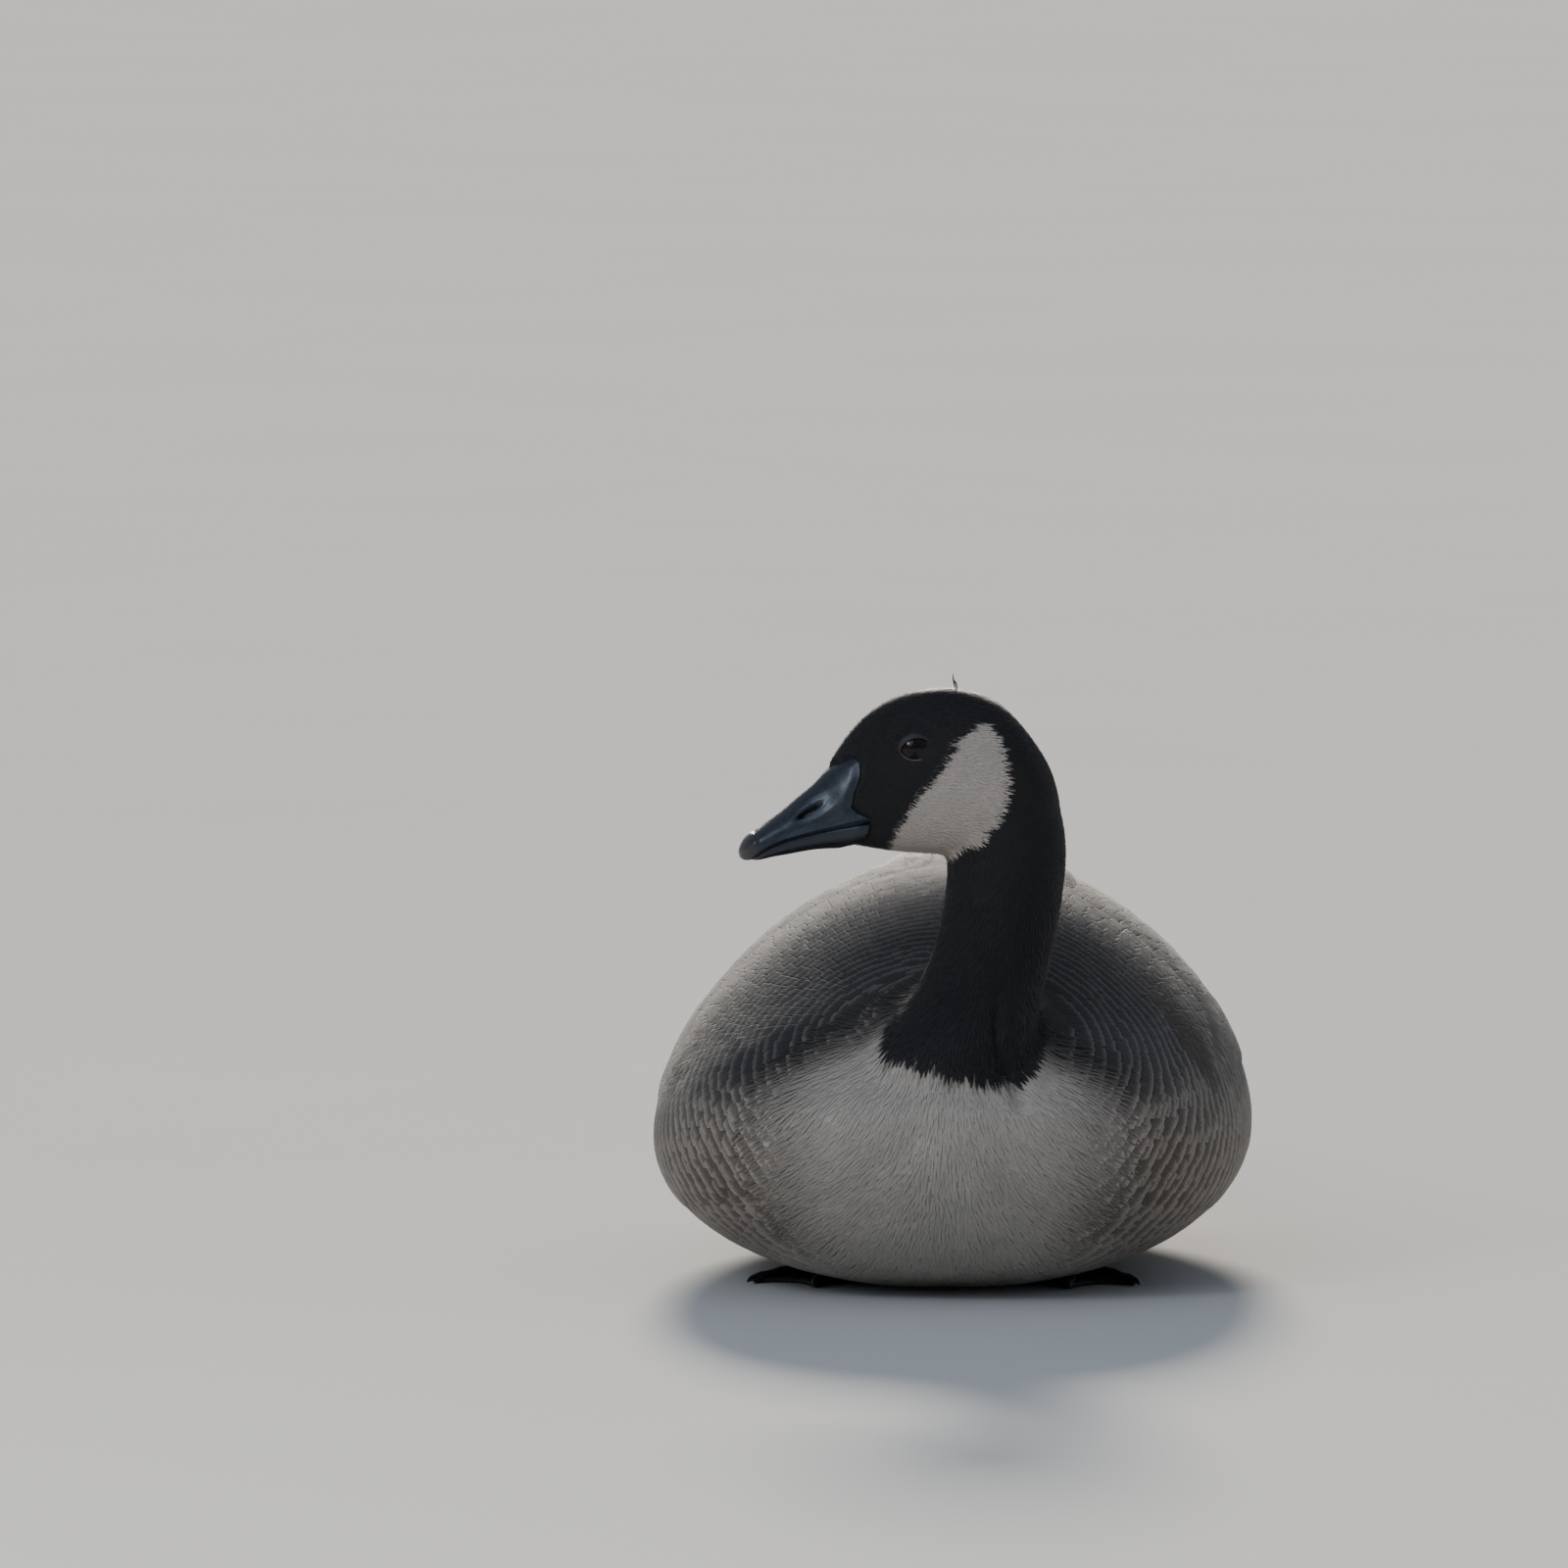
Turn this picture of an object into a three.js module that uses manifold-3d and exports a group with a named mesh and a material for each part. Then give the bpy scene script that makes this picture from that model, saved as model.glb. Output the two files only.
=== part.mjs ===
// A life-size Canada goose, resting as it floats, with its head turned to its right.
// Millimetres, +Z up, with the origin on the floor under the belly. The bird faces -Y and its left side is +X.
import * as THREE from "three";
import Module from "manifold-3d";

const wasm = await Module();
wasm.setup();

// Driving dimensions
const BREAST_Y = -188; // front of the breast
const RUMP_Y = 302; // where the torso ends, inside the root of the tail
const TAIL_TIP_Y = 408; // end of the longest tail feather
const GAP = 0.3; // clearance that touching nodes keep
const MERGE = 0.05; // how far a surface may move where needless triangles are merged
const FLOOR_DEPTH = 40; // block that cuts the resting flats
const WING_DEPTH = 8; // hollow in the torso's sides that a folded wing fills
const HEAD_AT = new THREE.Vector3(-10, -136.5, 229); // midpoint between the eyes
const HEAD_TURN = THREE.MathUtils.degToRad(78); // to the bird's right
const HEAD_NOD = THREE.MathUtils.degToRad(14.5); // bill down
const EYE_RADIUS = 8.2;
const EYE_X = 12.3; // centre of each eyeball from the middle of the head
const EYE_Z = 2.4;
const LID = 1.1; // thickness of the lids over the eyeball
const LID_OPEN = { length: 12.4, height: 9.4 };
const RECTRICES = 16; // tail feathers
const TERTIALS = 4; // long inner flight feathers that show on a folded wing
const PRIMARIES = 5; // tips of the outer flight feathers that show
const SIDES = { left: 1, right: -1 };

// Cross-sections of the torso from breast to rump: half width, top, bottom and the height of the widest point
const torsoRows = [
  { at: -188, half: 84, top: 104, bottom: 34, wide: 80 },
  { at: -150, half: 96, top: 120, bottom: 17, wide: 72 },
  { at: -110, half: 112, top: 136, bottom: 4, wide: 66 },
  { at: -60, half: 122, top: 153, bottom: -3, wide: 61 },
  { at: 0, half: 125.5, top: 166, bottom: -4, wide: 60 },
  { at: 60, half: 124, top: 171, bottom: -4, wide: 61 },
  { at: 120, half: 116, top: 167, bottom: -2, wide: 64 },
  { at: 180, half: 97, top: 153, bottom: 8, wide: 70 },
  { at: 230, half: 72, top: 133, bottom: 28, wide: 78 },
  { at: 270, half: 47, top: 113, bottom: 54, wide: 85 },
  { at: 302, half: 30, top: 101, bottom: 74, wide: 89 },
];
// Edges of a folded wing on the torso, as angles from the top of the back
const wingRows = [
  { at: -128, inner: 38, outer: 50 },
  { at: -100, inner: 24, outer: 61 },
  { at: -50, inner: 14, outer: 66 },
  { at: 30, inner: 8, outer: 66 },
  { at: 130, inner: 5, outer: 68 },
  { at: 236, inner: 4, outer: 74 },
];
// Level cross-sections of the neck: centre and half widths across and along the body
const neckRows = [
  { at: 66, x: 0, y: -116, across: 62, along: 53 },
  { at: 85, x: 1.5, y: -129, across: 49, along: 49 },
  { at: 97, x: 3.5, y: -137.5, across: 41, along: 43 },
  { at: 107.5, x: 7, y: -140.5, across: 35.3, along: 37.5 },
  { at: 121.5, x: 14, y: -139.5, across: 29, along: 33 },
  { at: 135, x: 20.3, y: -136, across: 26, along: 29.5 },
  { at: 150.5, x: 24.8, y: -132.5, across: 24.7, along: 27 },
  { at: 172, x: 28.5, y: -129, across: 24.5, along: 25 },
  { at: 190, x: 29.4, y: -128, across: 24.6, along: 24 },
  { at: 210, x: 28, y: -128, across: 21.5, along: 22 },
  { at: 224, x: 23, y: -129, across: 16, along: 18 },
];
// The head in its own frame, from the root of the bill (-Y) to the nape, with the eyes at height 0
const headRows = [
  { at: -40, half: 10.4, top: 0, bottom: -27, wide: -14 },
  { at: -33, half: 13.2, top: 5.6, bottom: -31.3, wide: -15.5 },
  { at: -25, half: 16.3, top: 12.6, bottom: -35, wide: -16.5 },
  { at: -15, half: 19, top: 19.2, bottom: -39.3, wide: -17 },
  { at: 0, half: 21.5, top: 23.7, bottom: -44.3, wide: -17.5 },
  { at: 15, half: 23, top: 23, bottom: -49, wide: -18 },
  { at: 30, half: 23.8, top: 18, bottom: -54, wide: -20 },
  { at: 42, half: 23.4, top: 8.5, bottom: -57, wide: -24 },
  { at: 55, half: 21, top: -6, bottom: -57, wide: -30 },
];
const upperBillRows = [
  { at: -80, half: 7.2, top: -18.8, bottom: -28.2, wide: -22.8 },
  { at: -76, half: 8.8, top: -16.6, bottom: -26, wide: -21 },
  { at: -68, half: 10, top: -13.6, bottom: -22.9, wide: -19.4 },
  { at: -58, half: 10.9, top: -9.9, bottom: -21.8, wide: -18.8 },
  { at: -50, half: 11.7, top: -6.2, bottom: -22, wide: -18.5 },
  { at: -40, half: 12.9, top: -1.3, bottom: -22.9, wide: -18 },
  { at: -33, half: 14.8, top: 4, bottom: -23.4, wide: -17.5 },
  { at: -24, half: 17.2, top: 11, bottom: -23.8, wide: -17 },
];
const lowerBillRows = [
  { at: -76, half: 6.4, top: -24, bottom: -27.2, wide: -25.4 },
  { at: -70, half: 7.8, top: -22.4, bottom: -27, wide: -24.8 },
  { at: -60, half: 8.9, top: -20.5, bottom: -27.6, wide: -24.2 },
  { at: -48, half: 10.3, top: -20.5, bottom: -28.8, wide: -24.6 },
  { at: -38, half: 12.2, top: -21, bottom: -31, wide: -25 },
  { at: -27, half: 15.2, top: -22, bottom: -33.8, wide: -25.5 },
];
// How far back the horn of the upper bill reaches at each angle from the culmen: a point between the brow and
// the lores, then forward round the lores and back to the gape
const upperBorder = [
  { at: 0, y: -34.6 },
  { at: 20, y: -31 },
  { at: 37, y: -24.5 },
  { at: 45, y: -22.7 },
  { at: 57.5, y: -24.5 },
  { at: 69, y: -29 },
  { at: 83, y: -31.7 },
  { at: 92, y: -30 },
  { at: 102, y: -25.7 },
  { at: 180, y: -25.7 },
];
// The same for the lower bill, whose horn gives way to feathers further forward under the chin
const lowerBorder = [
  { at: 0, y: -29 },
  { at: 60, y: -29 },
  { at: 90, y: -27.5 },
  { at: 120, y: -30 },
  { at: 150, y: -34.5 },
  { at: 180, y: -37 },
];
const tailRows = [
  { at: 246, half: 31, top: 113, bottom: 64, wide: 88 },
  { at: 280, half: 32, top: 107, bottom: 73, wide: 91 },
  { at: 315, half: 31, top: 102, bottom: 82, wide: 93 },
  { at: 350, half: 25, top: 98, bottom: 90, wide: 94 },
];

const degrees = THREE.MathUtils.degToRad;
const { lerp, clamp, smoothstep } = THREE.MathUtils;

// A smooth value of one column of a table, at any place between its rows
function valueAt(rows, key, at) {
  const found = rows.findIndex((row) => row.at >= at);
  const i = found < 0 ? rows.length - 1 : Math.max(found, 1);
  const [a, b] = [rows[i - 1], rows[i]];
  const slope = (p, q) => (q[key] - p[key]) / (q.at - p.at);
  const here = slope(a, b);
  const start = i > 1 ? (slope(rows[i - 2], a) + here) / 2 : here;
  const end = i < rows.length - 1 ? (here + slope(b, rows[i + 1])) / 2 : here;
  const span = b.at - a.at;
  const t = clamp((at - a.at) / span, 0, 1);
  const ease = t * t * (3 - 2 * t);
  const bend = t * (1 - t) * span * ((1 - t) * start - t * end);
  return lerp(a[key], b[key], ease) + bend;
}

// A point of an egg-shaped section: angle 0 is its top and a quarter turn its widest point on the +X side.
// Powers over 2 square the section and powers under 2 slope its shoulders.
function sectionPoint(rows, at, angle, powers) {
  const [s, c] = [Math.sin(angle), Math.cos(angle)];
  const power = c > 0 ? powers.upper : powers.lower;
  const wide = valueAt(rows, "wide", at);
  const end = valueAt(rows, c > 0 ? "top" : "bottom", at);
  const x = valueAt(rows, "half", at) * Math.sign(s) * Math.abs(s) ** (2 / power);
  const z = wide + (end - wide) * Math.abs(c) ** (2 / power);
  return new THREE.Vector3(x, at, z);
}

// Vertices and triangles to a solid, with its faces turned outwards
function solidOf(points, triangles) {
  const vertProperties = new Float32Array(points.flatMap((p) => p.toArray()));
  const make = (list) => new wasm.Manifold(new wasm.Mesh({
    numProp: 3,
    vertProperties,
    triVerts: new Uint32Array(list.flat()),
  }));
  const solid = make(triangles);
  return solid.volume() < 0 ? make(triangles.map(([a, b, c]) => [a, c, b])) : solid;
}

// A closed skin over rings of points, with a middle point that closes each end
function loft(rings, first, last) {
  const sides = rings[0].length;
  const points = [...rings.flat(), first, last];
  const at = (i, j) => i * sides + (j % sides);
  const triangles = [];
  for (let j = 0; j < sides; j++) {
    triangles.push([rings.length * sides, at(0, j + 1), at(0, j)]);
    triangles.push([rings.length * sides + 1, at(rings.length - 1, j), at(rings.length - 1, j + 1)]);
    for (let i = 0; i + 1 < rings.length; i++) {
      triangles.push([at(i, j), at(i, j + 1), at(i + 1, j + 1)]);
      triangles.push([at(i, j), at(i + 1, j + 1), at(i + 1, j)]);
    }
  }
  return solidOf(points, triangles);
}

const middle = (ring) => ring.reduce((sum, p) => sum.add(p), new THREE.Vector3()).divideScalar(ring.length);

// A three.js geometry to a solid
function solidFrom(geometry) {
  const flat = geometry.index ? geometry.toNonIndexed() : geometry;
  const position = flat.getAttribute("position");
  const places = new Map();
  const points = [];
  const corner = (i) => {
    const p = new THREE.Vector3().fromBufferAttribute(position, i);
    const key = p.toArray().map((v) => Math.round(v * 1e4)).join();
    if (!places.has(key)) {
      places.set(key, points.length);
      points.push(p);
    }
    return places.get(key);
  };
  const triangles = [];
  for (let i = 0; i < position.count; i += 3) {
    const [a, b, c] = [corner(i), corner(i + 1), corner(i + 2)];
    if (a !== b && b !== c && c !== a) triangles.push([a, b, c]);
  }
  return solidOf(points, triangles);
}

const fuse = (solids) => solids.reduce((whole, solid) => whole.add(solid));
const biggest = (solid) => solid.decompose().sort((a, b) => b.volume() - a.volume())[0];
const largest = (solid) => biggest(biggest(solid).asOriginal().simplify(MERGE));

// Torso

const torsoPowers = { upper: 1.78, lower: 2.1 };
const BREAST_ROUND = 62; // length over which the breast rounds off
const RUMP_ROUND = 20;

// The full outline of body and folded wings, lifted along its normal
function domePoint(y, angle, lift = 0) {
  const p = sectionPoint(torsoRows, y, angle, torsoPowers);
  if (!lift) return p;
  const step = 0.01;
  const around = sectionPoint(torsoRows, y, angle + step, torsoPowers)
    .sub(sectionPoint(torsoRows, y, angle - step, torsoPowers));
  const along = sectionPoint(torsoRows, y + 1, angle, torsoPowers)
    .sub(sectionPoint(torsoRows, y - 1, angle, torsoPowers));
  return p.addScaledVector(along.cross(around).normalize(), -lift);
}

// Depth of the hollow that holds the wing, 0 outside its edges
function hollowDepth(y, angle) {
  const turn = THREE.MathUtils.radToDeg(Math.abs(angle));
  const ends = smoothstep(y, -128, -108) * (1 - smoothstep(y, 222, 240));
  const edges = smoothstep(turn, valueAt(wingRows, "inner", y) - 2, valueAt(wingRows, "inner", y) + 5)
    * (1 - smoothstep(turn, valueAt(wingRows, "outer", y) - 6, valueAt(wingRows, "outer", y)));
  return WING_DEPTH * ends * edges;
}

function torsoSolid(grow) {
  const ringCount = 30;
  const sideCount = 32;
  const rings = [];
  const heart = (y) => new THREE.Vector3(0, y, valueAt(torsoRows, "wide", y));
  for (let i = 1; i < ringCount; i++) {
    const share = i / ringCount;
    const y = lerp(BREAST_Y, RUMP_Y, share ** 1.25);
    const front = clamp(1 - (y - BREAST_Y) / BREAST_ROUND, 0, 1);
    const back = clamp(1 - (RUMP_Y - y) / RUMP_ROUND, 0, 1);
    const round = Math.sqrt((1 - front * front) * (1 - back * back));
    rings.push(Array.from({ length: sideCount }, (_, j) => {
      const turn = (j / sideCount) * 2 * Math.PI;
      const angle = turn > Math.PI ? turn - 2 * Math.PI : turn;
      return heart(y).lerp(domePoint(y, angle, grow - hollowDepth(y, angle)), round);
    }));
  }
  const nose = heart(BREAST_Y - grow);
  return loft(rings, nose, heart(RUMP_Y + grow)).subtract(floorBlock());
}

// Everything below the level that the bird rests on
function floorBlock() {
  const block = new THREE.BoxGeometry(900, 1200, FLOOR_DEPTH);
  return solidFrom(block.translate(0, 100, -FLOOR_DEPTH / 2));
}

// Neck

const NAPE_CUT = 182; // level at which the neck ends and the head begins
const COLLAR = new THREE.Vector3(0, -110, 141); // a point of the slanting face between torso and neck
const COLLAR_SLOPE = 0.6;

// A block that keeps what lies above (or below) a slanting face
function halfSpace(through, slope, below) {
  const block = new THREE.BoxGeometry(400, 400, 200);
  block.translate(0, 0, below ? -100 : 100);
  block.rotateX(Math.atan(slope));
  return solidFrom(block.translate(through.x, through.y, through.z));
}

function neckSolid() {
  const rings = [];
  const ringCount = 16;
  const sideCount = 20;
  for (let i = 0; i <= ringCount; i++) {
    const z = lerp(neckRows[0].at, neckRows.at(-1).at, i / ringCount);
    rings.push(Array.from({ length: sideCount }, (_, j) => {
      const angle = (j / sideCount) * 2 * Math.PI;
      return new THREE.Vector3(
        valueAt(neckRows, "x", z) + valueAt(neckRows, "across", z) * Math.cos(angle),
        valueAt(neckRows, "y", z) + valueAt(neckRows, "along", z) * Math.sin(angle),
        z,
      );
    }));
  }
  return loft(rings, middle(rings[0]), middle(rings.at(-1)));
}

// Head, in its own frame

const headPowers = { upper: 2.05, lower: 2.2 };
const NAPE_ROUND = 17;

function headShell(grow) {
  const ringCount = 20;
  const sideCount = 24;
  const [front, back] = [headRows[0].at, headRows.at(-1).at];
  const rings = [];
  for (let i = 0; i < ringCount; i++) {
    const y = lerp(front, back, i / ringCount);
    const curl = clamp(1 - (back - y) / NAPE_ROUND, 0, 1);
    const round = Math.sqrt(1 - curl * curl);
    const heart = new THREE.Vector3(0, y, valueAt(headRows, "wide", y));
    rings.push(Array.from({ length: sideCount }, (_, j) => {
      const p = sectionPoint(headRows, y, (j / sideCount) * 2 * Math.PI, headPowers);
      const out = p.clone().sub(heart).normalize();
      return heart.clone().lerp(p, round).addScaledVector(out, grow);
    }));
  }
  const nape = new THREE.Vector3(0, back + grow, valueAt(headRows, "wide", back));
  return loft(rings, middle(rings[0]), nape);
}

function eyeSolid(side, grow) {
  const ball = new THREE.SphereGeometry(EYE_RADIUS + grow, 16, 10);
  return solidFrom(ball.rotateZ(Math.PI / 2).translate(side * EYE_X, 0, EYE_Z));
}

// The oval that stays open between the lids of one eye
function lidOpening(side) {
  const oval = new THREE.CylinderGeometry(1, 1, 12, 18);
  oval.rotateZ(Math.PI / 2);
  oval.scale(1, LID_OPEN.length / 2, LID_OPEN.height / 2);
  oval.rotateX(degrees(-6));
  return solidFrom(oval.translate(side * (EYE_X + 10), 0, EYE_Z));
}

// The crease that carries the line of the mouth back into the cheek
function gapeCrease(side) {
  const wedge = new THREE.CylinderGeometry(0.2, 1.1, 12, 6);
  wedge.rotateX(degrees(-8));
  wedge.rotateZ(degrees(-side * 7));
  return solidFrom(wedge.translate(side * 16.9, -22.5, -24.4));
}

// Bill, in the head's frame

function billLoft(rows, powers, border, tipRound, grow) {
  const ringCount = 14;
  const sideCount = 20;
  const tip = rows[0].at - grow;
  const rings = [];
  for (let i = 1; i <= ringCount; i++) {
    rings.push(Array.from({ length: sideCount }, (_, j) => {
      const turn = (j / sideCount) * 2 * Math.PI;
      const angle = turn > Math.PI ? 2 * Math.PI - turn : turn;
      const y = lerp(tip, border(THREE.MathUtils.radToDeg(angle)), (i / ringCount) ** 1.4);
      const curl = clamp(1 - (y - tip) / tipRound, 0, 1);
      const heart = new THREE.Vector3(0, y, valueAt(rows, "wide", y));
      const p = sectionPoint(rows, y, turn, powers);
      const out = p.clone().sub(heart).normalize();
      return heart.lerp(p, Math.sqrt(1 - curl * curl)).addScaledVector(out, grow);
    }));
  }
  const point = new THREE.Vector3(0, tip, valueAt(rows, "wide", tip) - 1);
  return loft(rings, point, new THREE.Vector3(0, -30 + grow, -18));
}

const upperBill = (grow) => billLoft(
  upperBillRows, { upper: 2.1, lower: 5 }, (angle) => valueAt(upperBorder, "y", angle) + grow, 7, grow);
const lowerBill = (grow) => billLoft(
  lowerBillRows, { upper: 5, lower: 2.4 }, (angle) => valueAt(lowerBorder, "y", angle) + grow, 6, grow);

function nostril(side) {
  const slot = new THREE.SphereGeometry(1, 10, 6);
  slot.scale(4, 6.2, 1.8);
  slot.rotateX(degrees(19));
  return solidFrom(slot.translate(side * 11, -48.4, -11.3));
}

// Feathers

// How wide a vane is along its length, as a share of its widest: narrow at the quill, full, then rounded off
const roundVane = (s) => {
  const tip = clamp((s - 0.62) / 0.4, 0, 1);
  return Math.min(0.55 + 0.9 * s, 1) * Math.sqrt(Math.max(1 - tip * tip, 0.04));
};
const pointedVane = (s) => Math.min(0.6 + s, 1) * (1 - 0.8 * clamp((s - 0.45) / 0.55, 0, 1) ** 1.6);

// A free vane along a curve, with a thick shaft and thinner edges that droop
function blade({ path, width, shape, roll = 0, thick = 1.3, edge = 0.6, droop = 1.2, steps = 5 }) {
  const curve = new THREE.CatmullRomCurve3(path);
  const rings = [];
  for (let i = 0; i <= steps; i++) {
    const s = i / steps;
    const forward = curve.getTangent(s);
    const side = new THREE.Vector3(0, 0, 1).cross(forward).normalize().applyAxisAngle(forward, roll);
    const up = forward.clone().cross(side);
    const half = (width / 2) * shape(s);
    const spot = (across, height) => curve.getPoint(s)
      .addScaledVector(side, across).addScaledVector(up, height);
    rings.push([
      spot(-half, edge / 2 - droop), spot(0, thick / 2), spot(half, edge / 2 - droop),
      spot(half, -edge / 2 - droop), spot(0, -thick / 2), spot(-half, -edge / 2 - droop),
    ]);
  }
  return loft(rings, middle(rings[0]), middle(rings.at(-1)));
}

// A covert that lies on the wing like a roof tile: its root is sunk and its tip stands proud
function covert(side, { y, angle, length, width, turn = 0, root = -1.6, tip = 1.5 }) {
  const sunk = -4;
  const rings = [];
  for (const s of [0, 0.5, 0.8, 0.94, 1]) {
    const at = y + length * s;
    const centre = angle + turn * s;
    const reach = domePoint(at, centre + 0.05).distanceTo(domePoint(at, centre - 0.05)) / 0.1;
    const half = ((width / 2) * roundVane(s)) / reach;
    const lift = lerp(root, tip, s);
    const spot = (across, height) => domePoint(at, side * (centre + across), height);
    rings.push([
      spot(-half, lift - 0.3), spot(0, lift + 0.5), spot(half, lift - 0.3),
      spot(half * 0.7, sunk), spot(-half * 0.7, sunk),
    ]);
  }
  return loft(rings, middle(rings[0]), middle(rings.at(-1)));
}

// The body of a folded wing: a slab that fills the hollow in the torso
function wingCore(side) {
  const [steps, across] = [18, 6];
  const [outer, inner] = [-1.2, -13];
  const rings = [];
  for (let i = 0; i <= steps; i++) {
    const y = lerp(-128, 238, i / steps);
    const ring = [];
    for (let j = 0; j <= across; j++) ring.push([j / across, outer]);
    for (let j = across; j >= 0; j--) ring.push([j / across, inner]);
    rings.push(ring.map(([share, lift]) => {
      const angle = lerp(valueAt(wingRows, "inner", y) - 3, valueAt(wingRows, "outer", y), share);
      return domePoint(y, side * degrees(angle), lift);
    }));
  }
  return loft(rings, middle(rings[0]), middle(rings.at(-1)));
}

// Rows of scapulars and coverts, smaller towards the shoulder
function covertRows(side) {
  const rowCount = 6;
  const vanes = [];
  for (let row = 0; row < rowCount; row++) {
    const y = lerp(-104, 164, row / (rowCount - 1));
    const inner = valueAt(wingRows, "inner", y + 20) + 5;
    const outer = valueAt(wingRows, "outer", y + 20) - 6;
    const count = row < 1 ? 4 : 5;
    for (let k = 0; k < count; k++) {
      const share = (k + (row % 2 ? 0.5 : 0.15)) / (count - 0.35);
      vanes.push(covert(side, {
        y,
        angle: degrees(lerp(inner, outer, share)),
        length: lerp(58, 80, row / (rowCount - 1)),
        width: lerp(21, 28, row / (rowCount - 1)),
        turn: degrees(lerp(1.5, -2, share)),
      }));
    }
  }
  return vanes;
}

function tertials(side) {
  return Array.from({ length: TERTIALS }, (_, k) => {
    const share = k / (TERTIALS - 1);
    const angle = side * degrees(lerp(17, 50, share));
    return blade({
      path: [
        domePoint(188, angle, -3.5 - share),
        domePoint(222, angle * 0.97, -1.2 - share),
        new THREE.Vector3(side * lerp(15, 47, share), 268, lerp(122, 109, share)),
        new THREE.Vector3(side * lerp(13.5, 36, share), lerp(334, 298, share), lerp(114.5, 107, share)),
      ],
      width: 25,
      shape: roundVane,
      roll: side * degrees(lerp(6, 26, share)),
    });
  });
}

function primaries(side) {
  return Array.from({ length: PRIMARIES }, (_, k) => {
    const share = k / (PRIMARIES - 1);
    return blade({
      path: [
        domePoint(196, side * degrees(57), -5 - 1.2 * k),
        new THREE.Vector3(side * (49 + k), 240, 104 - 1.5 * k),
        new THREE.Vector3(side * (33 + 1.5 * k), 296, 106.6 - 1.5 * k),
        new THREE.Vector3(side * lerp(13, 20, share), lerp(352, 388, share), 108.5 - 1.5 * k),
      ],
      width: 19,
      shape: pointedVane,
      roll: side * degrees(14),
      thick: 1,
      droop: 0.8,
    });
  });
}

function wingSolid(side, torso) {
  const wing = fuse([wingCore(side), ...covertRows(side), ...tertials(side), ...primaries(side)]);
  return largest(wing.subtract(torso));
}

// Tail

function tailCore() {
  const ringCount = 12;
  const sideCount = 20;
  const [front, back] = [tailRows[0].at, tailRows.at(-1).at];
  const rings = [];
  for (let i = 0; i < ringCount; i++) {
    const y = lerp(front, back, i / ringCount);
    rings.push(Array.from({ length: sideCount }, (_, j) =>
      sectionPoint(tailRows, y, (j / sideCount) * 2 * Math.PI, { upper: 2, lower: 2 })));
  }
  return loft(rings, middle(rings[0]), middle(rings.at(-1)).setY(back));
}

function rectrices() {
  const pivot = new THREE.Vector3(0, 205, 91);
  const reach = TAIL_TIP_Y - pivot.y;
  return Array.from({ length: RECTRICES }, (_, i) => {
    const place = i - (RECTRICES - 1) / 2;
    const outwards = Math.abs(place);
    const heading = new THREE.Vector3(Math.sin(degrees(place * 1.5)), Math.cos(degrees(place * 1.5)), 0);
    const height = 5.4 - 1.25 * outwards + (place > 0 ? 0.1 : -0.1);
    const spot = (distance, rise) => pivot.clone()
      .addScaledVector(heading, distance).setZ(pivot.z + height + rise);
    return blade({
      path: [spot(96, -1), spot(135, 0), spot(172, 1), spot(reach - 2.2 * outwards, 1.5)],
      width: 24,
      shape: roundVane,
      roll: degrees(place * -1.2),
      thick: 0.9,
      droop: 0.5,
      steps: 4,
    });
  });
}

// Legs, folded under the belly

const ANKLE = { x: 50, y: 2 };
const SOLE_WIDTH = 3.4; // half width of a toe at its root
const toes = [
  { turn: -21, length: 66 },
  { turn: 2, length: 80 },
  { turn: 24, length: 70 },
];

function toeTip(side, toe) {
  const angle = degrees(toe.turn);
  const out = ANKLE.x + toe.length * Math.sin(angle);
  return new THREE.Vector3(side * out, ANKLE.y - toe.length * Math.cos(angle), 0);
}

// A tapering limb with a round section between two points
function limb(from, to, start, end, sides = 10) {
  const ahead = to.clone().sub(from).normalize();
  const side = new THREE.Vector3(0, 0, 1).cross(ahead).normalize();
  const up = ahead.clone().cross(side);
  const ring = (share, radius) => Array.from({ length: sides }, (_, j) => {
    const angle = (j / sides) * 2 * Math.PI;
    return from.clone().lerp(to, share)
      .addScaledVector(side, radius * Math.cos(angle)).addScaledVector(up, radius * Math.sin(angle));
  });
  const rings = [ring(0, start), ring(0.5, (start + end) / 2), ring(1, end)];
  return loft(rings, from.clone(), to.clone().addScaledVector(ahead, end * 0.4));
}

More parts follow.
